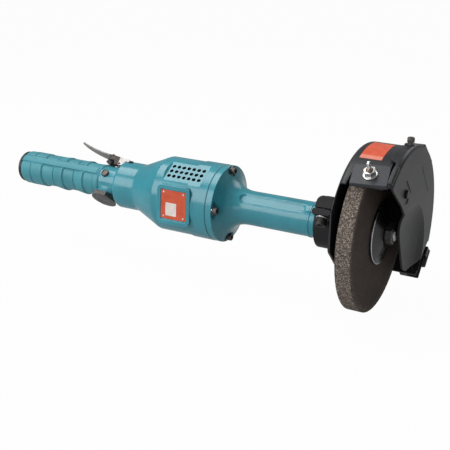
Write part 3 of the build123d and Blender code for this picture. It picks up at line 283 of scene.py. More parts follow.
def bonded_grit():
    """Brown abrasive: pale grains on the rim, closing to a duller, darker bond towards the sides; the
    fall-off is partly the wheel's own grit and partly painted shade on the sides.
    """
    finish = Finish("bonded_grit", (0.07, 0.055, 0.047), 0.8, Specular_IOR_Level=0.25)
    large = 850.0
    small = 1900.0
    side_r = 0.09
    rim_width = 0.011
    coarse = finish.cell_tone(large)
    fine = finish.cell_tone(small)
    blotch = finish.noise(90.0, 4.0, 0.65)
    y, z = finish.axes()[1:]
    out = (y * y + z * z).root()
    grit = finish.ramp(
        coarse * 0.55 + fine * 0.35 + blotch * 0.2,
        (0.2, (0.045, 0.034, 0.028)),
        (0.5, (0.095, 0.074, 0.062)),
        (0.74, (0.2, 0.165, 0.14)),
        (0.95, (0.5, 0.44, 0.38)),
    )
    bond = finish.ramp(
        coarse * 0.3 + fine * 0.4 + blotch * 0.4,
        (0.25, (0.035, 0.026, 0.022)),
        (0.85, (0.105, 0.08, 0.067)),
    )
    # Mask from sides to rim: partly the exposed grit, partly painted shade on the sides.
    rim_grit_and_light = ((out - side_r) / rim_width).clamped() ** 1.4
    finish.set("Base Color", finish.mix(rim_grit_and_light, bond, grit))
    finish.set("Roughness", 0.66 + fine * 0.26)
    finish.bump(finish.cells(large) * 0.7 + finish.cells(small) * 0.35, 0.0004, 0.6)
    return finish


def fibre(name, dark, colour, scale, stretch, roughness):
    """Rubber, felt, paper and laminate: short tangled threads."""
    finish = Finish(name, colour, roughness)
    threads = finish.noise(scale, 5.0, 0.7, finish.mapped(stretch))
    finish.set("Base Color", finish.ramp(threads, (0.32, dark), (0.68, colour)))
    finish.set("Roughness", roughness + (threads - 0.5) * 0.2)
    finish.bump(threads, 0.0002, 0.6)
    return finish


def flat_print(name, dark, colour, roughness):
    """Print on a metal plate or film: a faint drift and a fine skin."""
    finish = Finish(name, colour, roughness, Specular_IOR_Level=0.3)
    drift = finish.noise(110.0, 3.0, 0.6)
    finish.set("Base Color", finish.ramp(drift, (0.3, dark), (0.7, colour)))
    finish.set("Roughness", roughness + (drift - 0.5) * 0.16)
    finish.bump(finish.noise(1100.0, 2.0), 0.00004, 0.4)
    return finish


def label_film():
    """Orange film on the drum, with a paler band along its lower edge."""
    finish = Finish("orange_film", (0.66, 0.1, 0.05), 0.34, Specular_IOR_Level=0.3)
    band_top = 0.0515
    z = finish.axes(finish.mapped(turn=(math.radians(-LEAN), 0, 0)))[2]
    band = ((band_top - z) * BORDER).clamped()
    drift = finish.noise(120.0, 3.0, 0.6)
    orange = finish.ramp(drift, (0.3, (0.6, 0.085, 0.04)), (0.7, (0.74, 0.125, 0.06)))
    finish.set("Base Color", finish.mix(band * 0.6, orange, (0.78, 0.34, 0.26)))
    finish.set("Roughness", 0.32 + drift * 0.16)
    finish.bump(finish.noise(700.0, 2.0), 0.00004, 0.4)
    return finish


teal_paint = enamel(
    "teal_paint", (0.027, 0.2, 0.25), (0.032, 0.232, 0.29), (0.042, 0.27, 0.335),
    roughness=0.23, grain=0.3, peel=0.4,
)
# Paler copy of the teal paint for rounded edges: a painted highlight.
teal_edge_highlight = enamel(
    "teal_edge_highlight", (0.06, 0.29, 0.35), (0.075, 0.33, 0.4), (0.1, 0.37, 0.44),
    roughness=0.36, grain=0.35, peel=0.5,
)
teal_grip = enamel(
    "teal_grip", (0.03, 0.195, 0.235), (0.038, 0.228, 0.272), (0.05, 0.265, 0.315),
    roughness=0.48, grain=0.9, peel=0.4,
)
dark_teal = enamel(
    "dark_teal", (0.01, 0.06, 0.075), (0.013, 0.075, 0.092), (0.018, 0.09, 0.11),
    roughness=0.6, grain=0.5, peel=0.5,
)
black_paint = enamel(
    "black_paint", (0.01, 0.011, 0.013), (0.0145, 0.0155, 0.018), (0.022, 0.023, 0.0265),
    roughness=0.42, grain=0.5, peel=0.5, gloss=0.36,
)
# Paler copy of the black paint for rounded edges: a painted highlight.
black_edge_highlight = enamel(
    "black_edge_highlight", (0.028, 0.029, 0.032), (0.04, 0.041, 0.045), (0.058, 0.059, 0.063),
    roughness=0.36, grain=0.5, peel=0.5, gloss=0.35,
)
# Lighter copy of the black paint for the tongue plate: painted light on a plate that catches the lamps.
tongue_lit_paint = enamel(
    "tongue_lit_paint", (0.024, 0.026, 0.03), (0.034, 0.037, 0.043), (0.048, 0.051, 0.058),
    roughness=0.4, grain=0.5, peel=0.5, gloss=0.36,
)
collar_black = enamel(
    "collar_black", (0.006, 0.006, 0.007), (0.01, 0.01, 0.0115), (0.017, 0.017, 0.018),
    roughness=0.5, grain=0.7, peel=0.4, gloss=0.22,
)
gloss_black = enamel(
    "gloss_black", (0.004, 0.004, 0.0045), (0.006, 0.006, 0.007), (0.01, 0.01, 0.011),
    roughness=0.26, grain=0.3, peel=0.3, gloss=0.35,
)
black_steel = oxide("black_steel", (0.018, 0.017, 0.016), (0.075, 0.07, 0.067), 0.42)
bright_steel = bare_metal("bright_steel", (0.3, 0.29, 0.28), (0.62, 0.61, 0.6), 0.28, (1, 4, 4))
ground_steel = bare_metal("ground_steel", (0.3, 0.3, 0.31), (0.52, 0.52, 0.53), 0.3, (6, 1, 1))
motor_iron = bare_metal("motor_iron", (0.09, 0.09, 0.095), (0.2, 0.2, 0.21), 0.5, (2, 2, 2))
lever_steel = lever_finish()
washer_steel = bare_metal("washer_steel", (0.55, 0.54, 0.53), (0.85, 0.85, 0.84), 0.34, (1, 3, 3))
# Darker brown steel for the stud's threads: painted shade.
thread_shade_steel = bare_metal("thread_shade_steel", (0.1, 0.07, 0.05), (0.3, 0.23, 0.18), 0.5, (1, 3, 3))
rim_steel = bare_metal("rim_steel", (0.4, 0.4, 0.42), (0.75, 0.75, 0.78), 0.3, (1, 3, 3))
dial_steel = oxide("dial_steel", (0.05, 0.045, 0.042), (0.2, 0.18, 0.165), 0.5)
cap_steel = oxide("cap_steel", (0.05, 0.047, 0.047), (0.15, 0.142, 0.14), 0.4)
brass = bare_metal("brass", (0.42, 0.27, 0.09), (0.72, 0.5, 0.2), 0.3, (1, 1, 5))
seal = fibre("seal", (0.012, 0.012, 0.012), (0.035, 0.035, 0.036), 900.0, (1, 1, 1), 0.7)
vane_fibre = fibre("vane_fibre", (0.15, 0.085, 0.04), (0.3, 0.18, 0.09), 500.0, (0.2, 2, 2), 0.6)
felt = fibre("felt", (0.012, 0.012, 0.013), (0.035, 0.034, 0.033), 700.0, (1, 1, 1), 0.95)
blotter_paper = fibre("blotter_paper", (0.05, 0.045, 0.04), (0.1, 0.09, 0.08), 600.0, (1, 1, 1), 0.85)
abrasive = bonded_grit()
orange_plate = flat_print("orange_plate", (0.5, 0.072, 0.03), (0.62, 0.1, 0.045), 0.42)
pale_panel = flat_print("pale_panel", (0.6, 0.52, 0.48), (0.76, 0.7, 0.66), 0.5)
orange_strip = label_film()
finish_of = {
    "teal_paint": teal_paint,
    "teal_grip": teal_grip,
    "black_paint": black_paint,
    "black_steel": black_steel,
    "bright_steel": bright_steel,
    "ground_steel": ground_steel,
    "motor_iron": motor_iron,
    "brass": brass,
    "seal": seal,
    "vane_fibre": vane_fibre,
    "felt": felt,
    "blotter_paper": blotter_paper,
    "abrasive": abrasive,
    "orange_plate": orange_plate,
    "orange_strip": orange_strip,
}
# Paler edge copy of each paint: painted highlights on the rounded edges.
highlit_edge = {"teal_paint": teal_edge_highlight, "teal_grip": teal_edge_highlight, "black_paint": black_edge_highlight}


# Making pieces

# Degrees between faces from which an edge is rounded
SHARP_EDGE = 34.0


def merged(source):
    """A CAD node's shape with its loose triangles joined."""
    shape = bmesh.new()
    shape.from_mesh(nodes[source].data)
    bmesh.ops.remove_doubles(shape, verts=shape.verts, dist=2e-6)
    return shape


def mesh_from(name, shape):
    mesh = bpy.data.meshes.new(name)
    shape.to_mesh(mesh)
    shape.free()
    return mesh


def linked(name, data):
    """A new object in the scene."""
    made = bpy.data.objects.new(name, data)
    bpy.context.scene.collection.objects.link(made)
    return made


def add_piece(name, shape, source, finishes=None, replaced=True):
    """The shape as an object that rides with the CAD node's body and, unless finishes are given, takes the
    finish of its slot.
    """
    bmesh.ops.recalc_face_normals(shape, faces=shape.faces)
    mesh = mesh_from(name, shape)
    for finish in finishes or [finish_of[slot_of[source]]]:
        mesh.materials.append(finish.material)
    piece = linked(name, mesh)
    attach(piece, body_with[source])
    if replaced:
        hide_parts(source)
    return piece


def smooth_faces(piece):
    piece.data.shade_smooth()
    piece.data.set_sharp_from_angle(angle=math.radians(32.0))


def round_edges(piece, width, degrees=SHARP_EDGE, segments=2):
    """A small radius on every edge sharper than the angle, painted a little paler on paint as a painted
    highlight.
    """
    bevel = piece.modifiers.new("rounded_edges", "BEVEL")
    bevel.width = width * MM
    bevel.segments = segments
    bevel.limit_method = "ANGLE"
    bevel.angle_limit = math.radians(degrees)
    bevel.use_clamp_overlap = False
    bevel.miter_outer = "MITER_ARC"
    bevel.material = len(piece.data.materials) - 1
    piece.data.shade_smooth()
    even_shading(piece)


def even_shading(piece):
    """Let the large faces set the shading."""
    even = piece.modifiers.new("even_shading", "WEIGHTED_NORMAL")
    even.keep_sharp = True
    even.weight = 90


def fair_copy(source, width, finish=None, reform=None):
    """A CAD node with its flat areas joined, reshaped where asked, and its edges rounded."""
    shape = merged(source)
    bmesh.ops.dissolve_limit(
        shape,
        angle_limit=math.radians(0.05),
        verts=shape.verts,
        edges=shape.edges,
        use_dissolve_boundaries=False,
    )
    if reform:
        reform(shape)
    slot = slot_of[source]
    # Rounded edges of painted pieces take the paler copy: a painted highlight.
    finishes = [finish or finish_of[slot]]
    if slot in highlit_edge and not finish:
        finishes.append(highlit_edge[slot])
    piece = add_piece("shown_" + source, shape, source, finishes)
    if not width:
        smooth_faces(piece)
        even_shading(piece)
        return piece
    round_edges(piece, width)
    if "bevel_weight_edge" in piece.data.attributes:
        piece.modifiers["rounded_edges"].limit_method = "WEIGHT"
    return piece


def hex_radius(flats, angle):
    """Radius of a hexagon with a corner at angle 0."""
    return flats / 2 / math.cos(angle % (TURN / 6) - TURN / 12)


def turned(profile, steps=96, closed=True):
    """A section of (along, radius) corners spun about X; a third number cuts that ring to a hexagon."""
    shape = bmesh.new()
    corners = [shape.verts.new((corner[0] * MM, 0, corner[1] * MM)) for corner in profile]
    pairs = list(zip(corners, corners[1:]))
    if closed:
        pairs.append((corners[-1], corners[0]))
    edges = [shape.edges.new(pair) for pair in pairs]
    bmesh.ops.spin(
        shape, geom=corners + edges, cent=(0, 0, 0), axis=(1, 0, 0), angle=TURN, steps=steps, use_merge=True
    )
    bmesh.ops.remove_doubles(shape, verts=shape.verts, dist=1e-7)
    flats_at = {(round(c[0], 3), round(c[1], 3)): c[2] for c in profile if len(c) == 3}

    def cut(along, radius, angle):
        flats = flats_at.get((round(along, 3), round(radius, 3)))
        return min(radius, hex_radius(flats, angle)) if flats else radius

    return reshaped(shape, cut) if flats_at else shape


def reshaped(shape, radius_at):
    """Move every point to the radius that a rule gives for its place along X, radius and angle."""
    for point in shape.verts:
        radius = math.hypot(point.co.y, point.co.z)
        if radius > 1e-6:
            angle = math.atan2(point.co.y, point.co.z)
            share = radius_at(point.co.x / MM, radius / MM, angle) * MM / radius
            point.co.y *= share
            point.co.z *= share
    return shape


def at_turn(degrees, x, y, z):
    """A place drawn upright and turned about the tool's axis."""
    return Matrix.Rotation(math.radians(degrees), 3, "X") @ Vector((x, y, z))


def placed(shape, origin, direction, upward=(1, 0, 0)):
    """Take a shape drawn along X to its place on the tool."""
    along = Vector(direction).normalized()
    side = Vector(upward).cross(along).normalized()
    turn = Matrix((along, side, along.cross(side))).transposed().to_4x4()
    place = Matrix.Translation(Vector(origin) * MM) @ turn
    bmesh.ops.transform(shape, matrix=place, verts=shape.verts)
    return shape


def together(shapes):
    whole = bmesh.new()
    for shape in shapes:
        mesh = mesh_from("joined", shape)
        whole.from_mesh(mesh)
        bpy.data.meshes.remove(mesh)
    return whole


def threaded(shape, start, end, crest, depth, pitch):
    """Cut a thread into the rings of one radius."""

    def cut(along, radius, angle):
        if abs(radius - crest) > 0.02 or not start <= along <= end:
            return radius
        phase = (along / pitch + angle / TURN) % 1.0
        return radius - depth * abs(2 * phase - 1)

    return reshaped(shape, cut)


def evenly(start, end, step):
    count = max(1, round((end - start) / step))
    return [start + (end - start) * index / count for index in range(count + 1)]


def smooth_step(low, high, value):
    """0 at low and 1 at high, with soft ends."""
    share = min(1.0, max(0.0, (value - low) / (high - low)))
    return share * share * (3 - 2 * share)


def socket_screw(head_r, head_h, shank_r, shank_l, flats, depth, teeth=30):
    """Knurled socket screw along X with its seat at 0."""
    corner = flats / math.sqrt(3)
    knurl_depth = 0.16
    shape = turned(
        [
            (-shank_l, 0), (-shank_l, shank_r - 0.5), (0.5 - shank_l, shank_r), (0, shank_r),
            (0, head_r - 0.3), (0.3, head_r), (head_h - 1.1, head_r),
            (head_h - 0.9, head_r - 0.15), (head_h - 0.25, head_r - 0.3),
            (head_h, head_r - 0.8), (head_h, corner + 0.35),
            (head_h - 0.35, corner + 0.02, flats), (head_h - depth, corner + 0.02, flats),
            (head_h - depth - 0.5, 0),
        ],
        teeth * 6,
        closed=False,
    )

    def knurl(along, radius, angle):
        if abs(radius - head_r) > 0.01:
            return radius
        return radius - knurl_depth * (0.5 - 0.5 * math.cos(teeth * angle))

    return reshaped(shape, knurl)


def hex_rings(flats, start, end, low_edge, face=0.48):
    """Rings of a hexagon, as (along, limit, flats), chamfered at its end and at its start where asked."""
    corner = flats / math.sqrt(3)
    low_limit = corner + 0.01
    high_limit = corner + 0.011
    rise = corner - face * flats
    slope = 1.73
    shares = (0.0, 0.2, 0.4, 0.6, 0.8, 1.0)
    low = [(start + share * rise / slope, low_limit - (1 - share) * rise, flats) for share in shares]
    high = [(end - share * rise / slope, high_limit - (1 - share) * rise, flats) for share in shares]
    low = low if low_edge else [(start, low_limit, flats)]
    return low + high[::-1]


def hex_nut(flats, bore, height):
    """Hexagon nut along X, chamfered on both faces and in the bore."""
    chamfer = 0.6
    rings = hex_rings(flats, 0, height, low_edge=True)
    low = [(chamfer, bore), (0, bore + chamfer)]
    high = [(height, bore + chamfer), (height - chamfer, bore)]
    return turned([*low, *rings, *high])


def split_washer(outer, inner, thickness):
    """Spring washer along X: a square section spun not quite round, rising a little."""
    shape = bmesh.new()
    rise = 0.25
    closed_share = 0.965
    section = [(0, inner), (0, outer), (thickness - rise, outer), (thickness - rise, inner)]
    corners = [shape.verts.new((along * MM, 0, radius * MM)) for along, radius in section]
    edges = [shape.edges.new((corners[index - 1], corners[index])) for index in range(4)]
    steps = 60
    bmesh.ops.spin(
        shape,
        geom=corners + edges,
        cent=(0, 0, 0),
        axis=(1, 0, 0),
        dvec=(rise * MM / steps, 0, 0),
        angle=TURN * closed_share,
        steps=steps,
    )
    bmesh.ops.holes_fill(shape, edges=shape.edges, sides=4)
    return shape


def bevelled(shape, edges, radius, segments):
    bmesh.ops.bevel(
        shape,
        geom=edges,
        offset=radius * MM,
        offset_type="OFFSET",
        segments=segments,
        profile=0.5,
        affect="EDGES",
        material=-1,
    )


def rounded_block(low, high, corner):
    """A block between two places with round corners along Y."""
    low = Vector(low) * MM
    high = Vector(high) * MM
    shape = bmesh.new()
    bmesh.ops.create_cube(shape, size=1.0)
    bmesh.ops.scale(shape, verts=shape.verts, vec=high - low)
    bmesh.ops.translate(shape, verts=shape.verts, vec=(low + high) / 2)
    uprights = [edge for edge in shape.edges if abs((edge.verts[0].co - edge.verts[1].co).y) > 1e-6]
    bevelled(shape, uprights, corner, 6)
    return shape


def dress(source, shape, width=0.0, finishes=None):
    """Show a shape in place of a CAD node."""
    piece = add_piece("shown_" + source, shape, source, finishes)
    if width:
        round_edges(piece, width)
    else:
        smooth_faces(piece)
    return piece


# Studio


def photo_camera():
    """Camera at the photograph's viewing angle, fitted to the tool's round sections."""
    right = Vector((0.87733, 0.47838, 0.03800))
    up = Vector((-0.17569, 0.24649, 0.95309))
    back = Vector((0.44658, -0.84285, 0.30029))
    place = Vector((0.87294, -0.99886, 0.32501))
    data = bpy.data.cameras.new("photo_camera")
    data.sensor_fit = "HORIZONTAL"
    data.angle = math.radians(28.83)
    data.clip_start = 0.05
    camera = linked("photo_camera", data)
    turn = Matrix((right, up, back)).transposed()
    camera.matrix_world = Matrix.Translation(place) @ turn.to_4x4()
    bpy.context.scene.camera = camera


def soft_lamp(name, place, target, width, height, power):
    data = bpy.data.lights.new(name, "AREA")
    data.shape = "RECTANGLE"
    data.size = width
    data.size_y = height
    data.energy = power
    lamp = linked(name, data)
    lamp.location = place
    lamp.rotation_euler = (Vector(target) - Vector(place)).to_track_quat("-Z", "Y").to_euler()


def white_room(level):
    """White all round, at a lower level where it lights the tool."""
    world = bpy.data.worlds.new("white_room")
    bpy.context.scene.world = world
    world.use_nodes = True
    room = ShaderNodes(world.node_tree)
    backdrop = world.node_tree.nodes["Background"]
    backdrop.inputs["Color"].default_value = (1, 1, 1, 1)
    room.join(backdrop.inputs["Strength"], room.background_rays(0.0) * (1 - level) + level)


def pale_floor(height, lift):
    """A pale floor that keeps the shadow and is lifted towards white where it is seen."""
    shape = bmesh.new()
    bmesh.ops.create_circle(shape, cap_ends=True, segments=96, radius=14.0)
    bmesh.ops.translate(shape, verts=shape.verts, vec=(0.3, 0, height))
    floor = linked("floor", mesh_from("floor", shape))
    finish = Finish("pale_floor", (0.45, 0.45, 0.45), 0.9)
    glow = finish.node("ShaderNodeEmission", None, {"Color": (1, 1, 1), "Strength": 1.0})
    paler = finish.node("ShaderNodeMixShader", None, {0: finish.background_rays(0.3) * lift, 2: glow})
    finish.tree.links.new(finish.shader.outputs[0], paler.socket.node.inputs[1])
    output = finish.tree.nodes["Material Output"]
    finish.join(output.inputs["Surface"], paler)
    floor.data.materials.append(finish.material)


# Grip and air inlet


def grip_shape():
    """Saw-tooth waves along the grip with cut lines, and two straight strips between grooves."""
    stations = (
        (6, 21.6), (10, 23.7), (26, 24.2), (46, 24.2), (48.2, 22.3), (60, 21.9), (84.5, 24.2),
        (86.7, 22.3), (98, 21.9), (121, 24.2), (123.2, 22.6), (134, 22.4), (146, 22.9),
        (147.5, 22.1),
    )
    lines = (26, 46.6, 67, 85.1, 104, 121.6, 138)
    line_depth = 1.0
    groove_depth = 1.1
    first = stations[0][0]
    last = stations[-1][0]
    bore = 18.2
    handle_x = 120
    handle_r = 21.9
    over_handle = 22.05
    crest = 24.5
    rings = [(along, 24.0) for along in evenly(first, last, 0.5)]
    inside = [(last, handle_r), (handle_x + 1, handle_r), (handle_x, bore)]
    shape = turned([(first, bore), *rings, *inside], 240)

    def wave(along):
        for (start, low), (end, high) in zip(stations, stations[1:]):
            if along <= end + 1e-6:
                share = (along - start) / (end - start)
                return low + (high - low) * (0.5 - 0.5 * math.cos(math.pi * share))
        return stations[-1][1]

    def skin(along, radius, angle):
        if radius < 22:
            return radius
        turn = math.degrees(math.atan2(math.cos(angle), -math.sin(angle)))
        front, rear = [abs(crest * math.radians(turn - middle)) for middle in STRIP_TURNS]
        across = min(front, rear)
        length = smooth_step(121, 119, along) if rear == across else smooth_step(146, 142, along)
        strip = (1 - smooth_step(4.4, 5.1, across)) * length
        groove = smooth_step(4.6, 5.4, across) * (1 - smooth_step(6.3, 7.3, across)) * length
        cut = max(1 - smooth_step(0.35, 1.1, abs(along - line)) for line in lines)
        ring = wave(along) - max(line_depth * cut, groove_depth * groove)
        ring = max(ring, over_handle) if along > handle_x else ring
        strip_r = min(24.45, wave(min(along, 12)) + 0.6)
        return ring + (strip_r - ring) * strip

    return reshaped(shape, skin)


def inlet_shape():
    """Bush with a threaded bore and a seat for the screen."""
    thread_r = 9.5
    thread_start = 0.8
    bore = [(along, thread_r) for along in evenly(20, thread_start, 0.2)]
    shape = turned(
        [
            *bore, (0, 10.4), (0, 19.4), (0.3, 20.1), (2.2, 22.1), (2.6, 22.4), (6, 22.4),
            (6, 15), (26, 15), (26, 7), (21.5, 7), (21.5, 8.2), (20, 8.2),
        ],
        96,
    )
    return threaded(shape, thread_start, 19.6, thread_r, depth=-0.55, pitch=1.8)


# Screws, nuts and washers

screw_places = []
for quarter in range(4):
    turn = math.radians(90 * quarter - 2)
    screw_places.append((SCREW_CIRCLE * math.cos(turn), SCREW_CIRCLE * math.sin(turn)))


def flange_screw_shapes():
    shapes = []
    for y, z in screw_places:
        screw = socket_screw(head_r=5.0, head_h=6.0, shank_r=2.85, shank_l=35.4, flats=5.0, depth=3.0)
        shapes.append(placed(screw, (350, y, z), (1, 0, 0), (0, 0, 1)))
    return together(shapes)


def lock_washer_shapes():
    shapes = []
    for y, z in screw_places:
        washer = split_washer(outer=5.6, inner=3.0, thickness=1.8)
        shapes.append(placed(washer, (SEAT_FACE, y, z), (1, 0, 0), (0, -1, 0)))
    return together(shapes)


def on_clamp(shape, depth):
    """Set a shape under the collar's clamp, at a depth below its parting plane."""
    return placed(shape, at_turn(CLAMP_TURN, 499.75, -45, -depth), at_turn(CLAMP_TURN, 0, 0, -1))


def clamp_screw_shape():
    screw = socket_screw(head_r=7.0, head_h=9.0, shank_r=4.5, shank_l=19.6, flats=7.0, depth=4.5, teeth=36)
    return on_clamp(screw, 10.85)


def clamp_washer_shape():
    washer = turned([(0, 4.7), (0, 7.6), (0.4, 8.0), (1.2, 8.0), (1.6, 7.6), (1.6, 4.7)])
    return on_clamp(washer, 9.25)


def cover_screw_shape():
    screw = socket_screw(head_r=4.4, head_h=6.0, shank_r=2.85, shank_l=11.1, flats=4.4, depth=3.0)
    return placed(screw, at_turn(COVER_SCREW_TURN, 588, 0, 117.1), at_turn(COVER_SCREW_TURN, 0, 0, 1))


def valve_cap_shape():
    """Hexagon cap with a chamfered outer face and a shallow turned ring."""
    rings = hex_rings(33.5, 23.5, 30.5, low_edge=False, face=0.54)
    shape = turned(
        [
            (27.5, 0), (27.5, 7.6), (13.5, 7.6), (13.5, 11.5), (14, 12), (23.5, 12), *rings,
            (30.5, 9.6), (30.1, 9.2), (30.1, 0),
        ],
        closed=False,
    )
    return placed(shape, (157.5, 0, 0), at_turn(LEAN, 0, 0, -1))


def spindle_nut_shape():
    nut = hex_nut(flats=23.8, bore=7.95, height=9.0)
    return placed(nut, (FLANGE_FACE, 0, 0), (1, 0, 0), (0, 0, 1))


def on_stud(shape, height):
    """Set a shape on the stud's line at a height."""
    return placed(shape, at_turn(TONGUE_TURN, 564.9, -16.4, height), at_turn(TONGUE_TURN, 0, 0, 1))


def stud_shape():
    """Stud threaded up to a slim end with an eye."""
    base = math.sqrt(106.0**2 - 16.0**2)
    shoulder = TONGUE_FACE + TONGUE_WASHER + TONGUE_NUT + 2.0
    end = base + 3.0 + 25.0
    stud_r = 4.0
    thread_start = 105.6
    thread_end = shoulder - 0.7
    threads = [(along, stud_r) for along in evenly(thread_start, thread_end, 0.14)]
    shape = turned(
        [
            (base, 0), (base, stud_r), *threads, (shoulder, 3.4), (shoulder, 2.2),
            (end - 5.2, 2.0), (end - 5.0, 1.6), (end - 5.0, 0),
        ],
        64,
        closed=False,
    )
    threaded(shape, thread_start, thread_end, stud_r, depth=0.5, pitch=1.25)
    # The threaded part takes the darker brown steel as painted shade.
    brown = [face for face in shape.faces if face.calc_center_median().x < (shoulder + 0.1) * MM]
    for face in brown:
        face.material_index = 1
    eye = turned([(-1.5, 1.3), (-1.5, 2.5), (-1.1, 3.0), (1.1, 3.0), (1.5, 2.5), (1.5, 1.3)], 40)
    placed(eye, (end - 3.0, 0, 0), (0, 0, 1), (1, 0, 0))
    return on_stud(together([shape, eye]), 0)


def tongue_nut_shape():
    nut = hex_nut(flats=13.0, bore=4.05, height=TONGUE_NUT)
    return on_stud(nut, TONGUE_FACE + TONGUE_WASHER)


def tongue_washer_shape():
    low = [(0, 4.05), (0, 8.2), (0.3, 8.5)]
    high = [(1.2, 8.5), (TONGUE_WASHER, 8.1), (TONGUE_WASHER, 4.4), (1.2, 4.05)]
    shape = turned([*low, *high])
    return on_stud(shape, TONGUE_FACE)


def dial_shape():
    """Ribbed dial with a rim around its sunk face."""
    rib_r = 5.3
    rib_depth = 0.3
    shape = turned(
        [
            (10.4, 0), (10.4, 4.0), (21.4, 4.0), (21.4, 5.0), (21.7, rib_r), (24.5, rib_r),
            (25.2, 4.7), (25.2, 4.3), (24.4, 4.0), (24.4, 0),
        ],
        120,
        closed=False,
    )

    def ribs(along, radius, angle):
        if abs(radius - rib_r) > 0.05:
            return radius
        return radius - rib_depth * (0.5 - 0.5 * math.cos(20 * angle))

    return placed(reshaped(shape, ribs), (157, 0, 0), at_turn(DIAL_TURN, 0, 0, 1))


# Nameplate


def rivet_shapes():
    profile = [(0, 0), (0, 1.4), (0.3, 1.35), (0.55, 1.0), (0.68, 0.5), (0.7, 0)]
    shapes = []
    for x in (277.5, 307.7):
        for z in (-16.35, 16.35):
            dome = turned(profile, 32, closed=False)
            shapes.append(placed(dome, (x, -51.4, z), (0, -1, 0)))
    return together(shapes)


def nameplate_frame():
    """Raised pad on the barrel's front with a hollow for the plate."""
    border = 5
    slope = 0.8
    depth = 1.8
    shape = rounded_block((267.6, -52.6, -26.5), (317.6, -43, 26.5), 7.5)
    bmesh.ops.recalc_face_normals(shape, faces=shape.faces)
    front = [face for face in shape.faces if face.normal.y < -0.9]
    bmesh.ops.inset_region(shape, faces=front, thickness=border * MM)
    bmesh.ops.inset_region(shape, faces=front, thickness=slope * MM)
    floor = {point for face in front for point in face.verts}
    bmesh.ops.translate(shape, verts=list(floor), vec=(0, depth * MM, 0))
    return shape


# Motor housing


def motor_shape():
    """Head, cone and barrel, with flats for the nameplate and the vents, and a vent pocket whose faces take
    the dark felt as painted shade.
    """
    head_x = 179
    head_r = 33
    barrel_r = 51
    corner = 4
    cone_x = 215
    cone_l = 41
    edge = []
    for turn in evenly(0, TURN / 4, 0.2):
        along = head_x + corner - corner * math.cos(turn)
        edge.append((along, head_r - corner + corner * math.sin(turn)))
    cone = []
    for along in evenly(218, 254.5, 1.5):
        cone.append((along, head_r + (along - cone_x) / cone_l * (barrel_r - head_r)))
    shape = turned(
        [
            (head_x, 20.1), *edge,
            *[(along, head_r) for along in evenly(185, 212, 3)],
            (214, 33.15), (216, 33.6), *cone, (255.6, 50.65), (256.6, 50.93),
            *[(along, barrel_r) for along in evenly(258, 307.2, 0.6)],
            (307.7, 51.1), (308.5, 51.9),
            *[(along, 52) for along in evenly(309, 339.2, 0.6)],
            (339.6, 51.6), (339.6, 41), (234, 41), (234, 25), (207.2, 25), (207.2, 7),
            (205.2, 7), (205.2, 20.1),
        ],
        360,
    )
    reshaped(shape, barrel_flats)
    # Faces of the vent pocket take the felt, the second material, as painted shade.
    upward = math.radians(180 - VENT_TURN)
    for face in shape.faces:
        middle = face.calc_center_median()
        height = middle.y * math.cos(upward) + middle.z * math.sin(upward)
        radius = math.hypot(middle.y, middle.z)
        if 0.27 < middle.x < 0.3252 and height > 0.04 and radius < 0.0478:
            face.material_index = 1
    return shape


def barrel_flats(along, radius, angle):
    """A flat for the nameplate, and one with soft ends for the vents, with a pocket behind their panel."""
    plate_flat = 50.5
    vent_flat = 48.38
    pocket_floor = 41.6
    front = -radius * math.sin(angle)
    if 50 < radius and 271 < along < 314.5 and front > 44:
        return radius * min(1.0, plate_flat / front)
    turn = angle + math.radians(VENT_TURN)
    height = radius * math.cos(turn)
    if radius < 45 or height < 40 or not 262 < along < 332:
        return radius
    ramp = smooth_step(264.5, 270.5, along) * (1 - smooth_step(326.6, 329.6, along))
    limit = vent_flat + 4 * (1 - ramp)
    across = abs(radius * math.sin(turn))
    if 270.7 < along < 324.6 and across < 14.3:
        limit = pocket_floor
    return radius * min(1.0, limit / height)


def vent_panel():
    """Plate with three rows of seven round holes, each with a wall behind it that takes the dark felt as
    painted shade.
    """
    length = 55.6
    width = 30.4
    hole_r = 2.7
    pitch = 7.65
    row_pitch = 8.4
    wall = 4
    shape = bmesh.new()
    bmesh.ops.create_grid(shape, x_segments=1, y_segments=1, size=0.5)
    bmesh.ops.delete(shape, geom=list(shape.faces), context="FACES_ONLY")
    bmesh.ops.scale(shape, verts=shape.verts, vec=(length * MM, width * MM, 1))
    for row in (-1, 0, 1):
        for column in range(-3, 4):
            ring = bmesh.ops.create_circle(shape, segments=28, radius=hole_r * MM)["verts"]
            bmesh.ops.translate(shape, verts=ring, vec=(pitch * column * MM, row_pitch * row * MM, 0))
    rims = [edge for edge in shape.edges if edge.calc_length() < hole_r * MM]
    bmesh.ops.triangle_fill(shape, edges=list(shape.edges), use_beauty=True)
    deeper = bmesh.ops.extrude_edge_only(shape, edges=rims)["geom"]
    # The hole walls take the felt as painted shade.
    for item in deeper:
        if isinstance(item, bmesh.types.BMFace):
            item.material_index = 1
    lower = [item for item in deeper if isinstance(item, bmesh.types.BMVert)]
    bmesh.ops.translate(shape, verts=lower, vec=(0, 0, -wall * MM))
    bmesh.ops.translate(shape, verts=shape.verts, vec=(297.6 * MM, 0, 48.4 * MM))
    to_vents = Matrix.Rotation(math.radians(VENT_TURN), 4, "X")
    bmesh.ops.transform(shape, matrix=to_vents, verts=shape.verts)
    return shape


# Nose housing


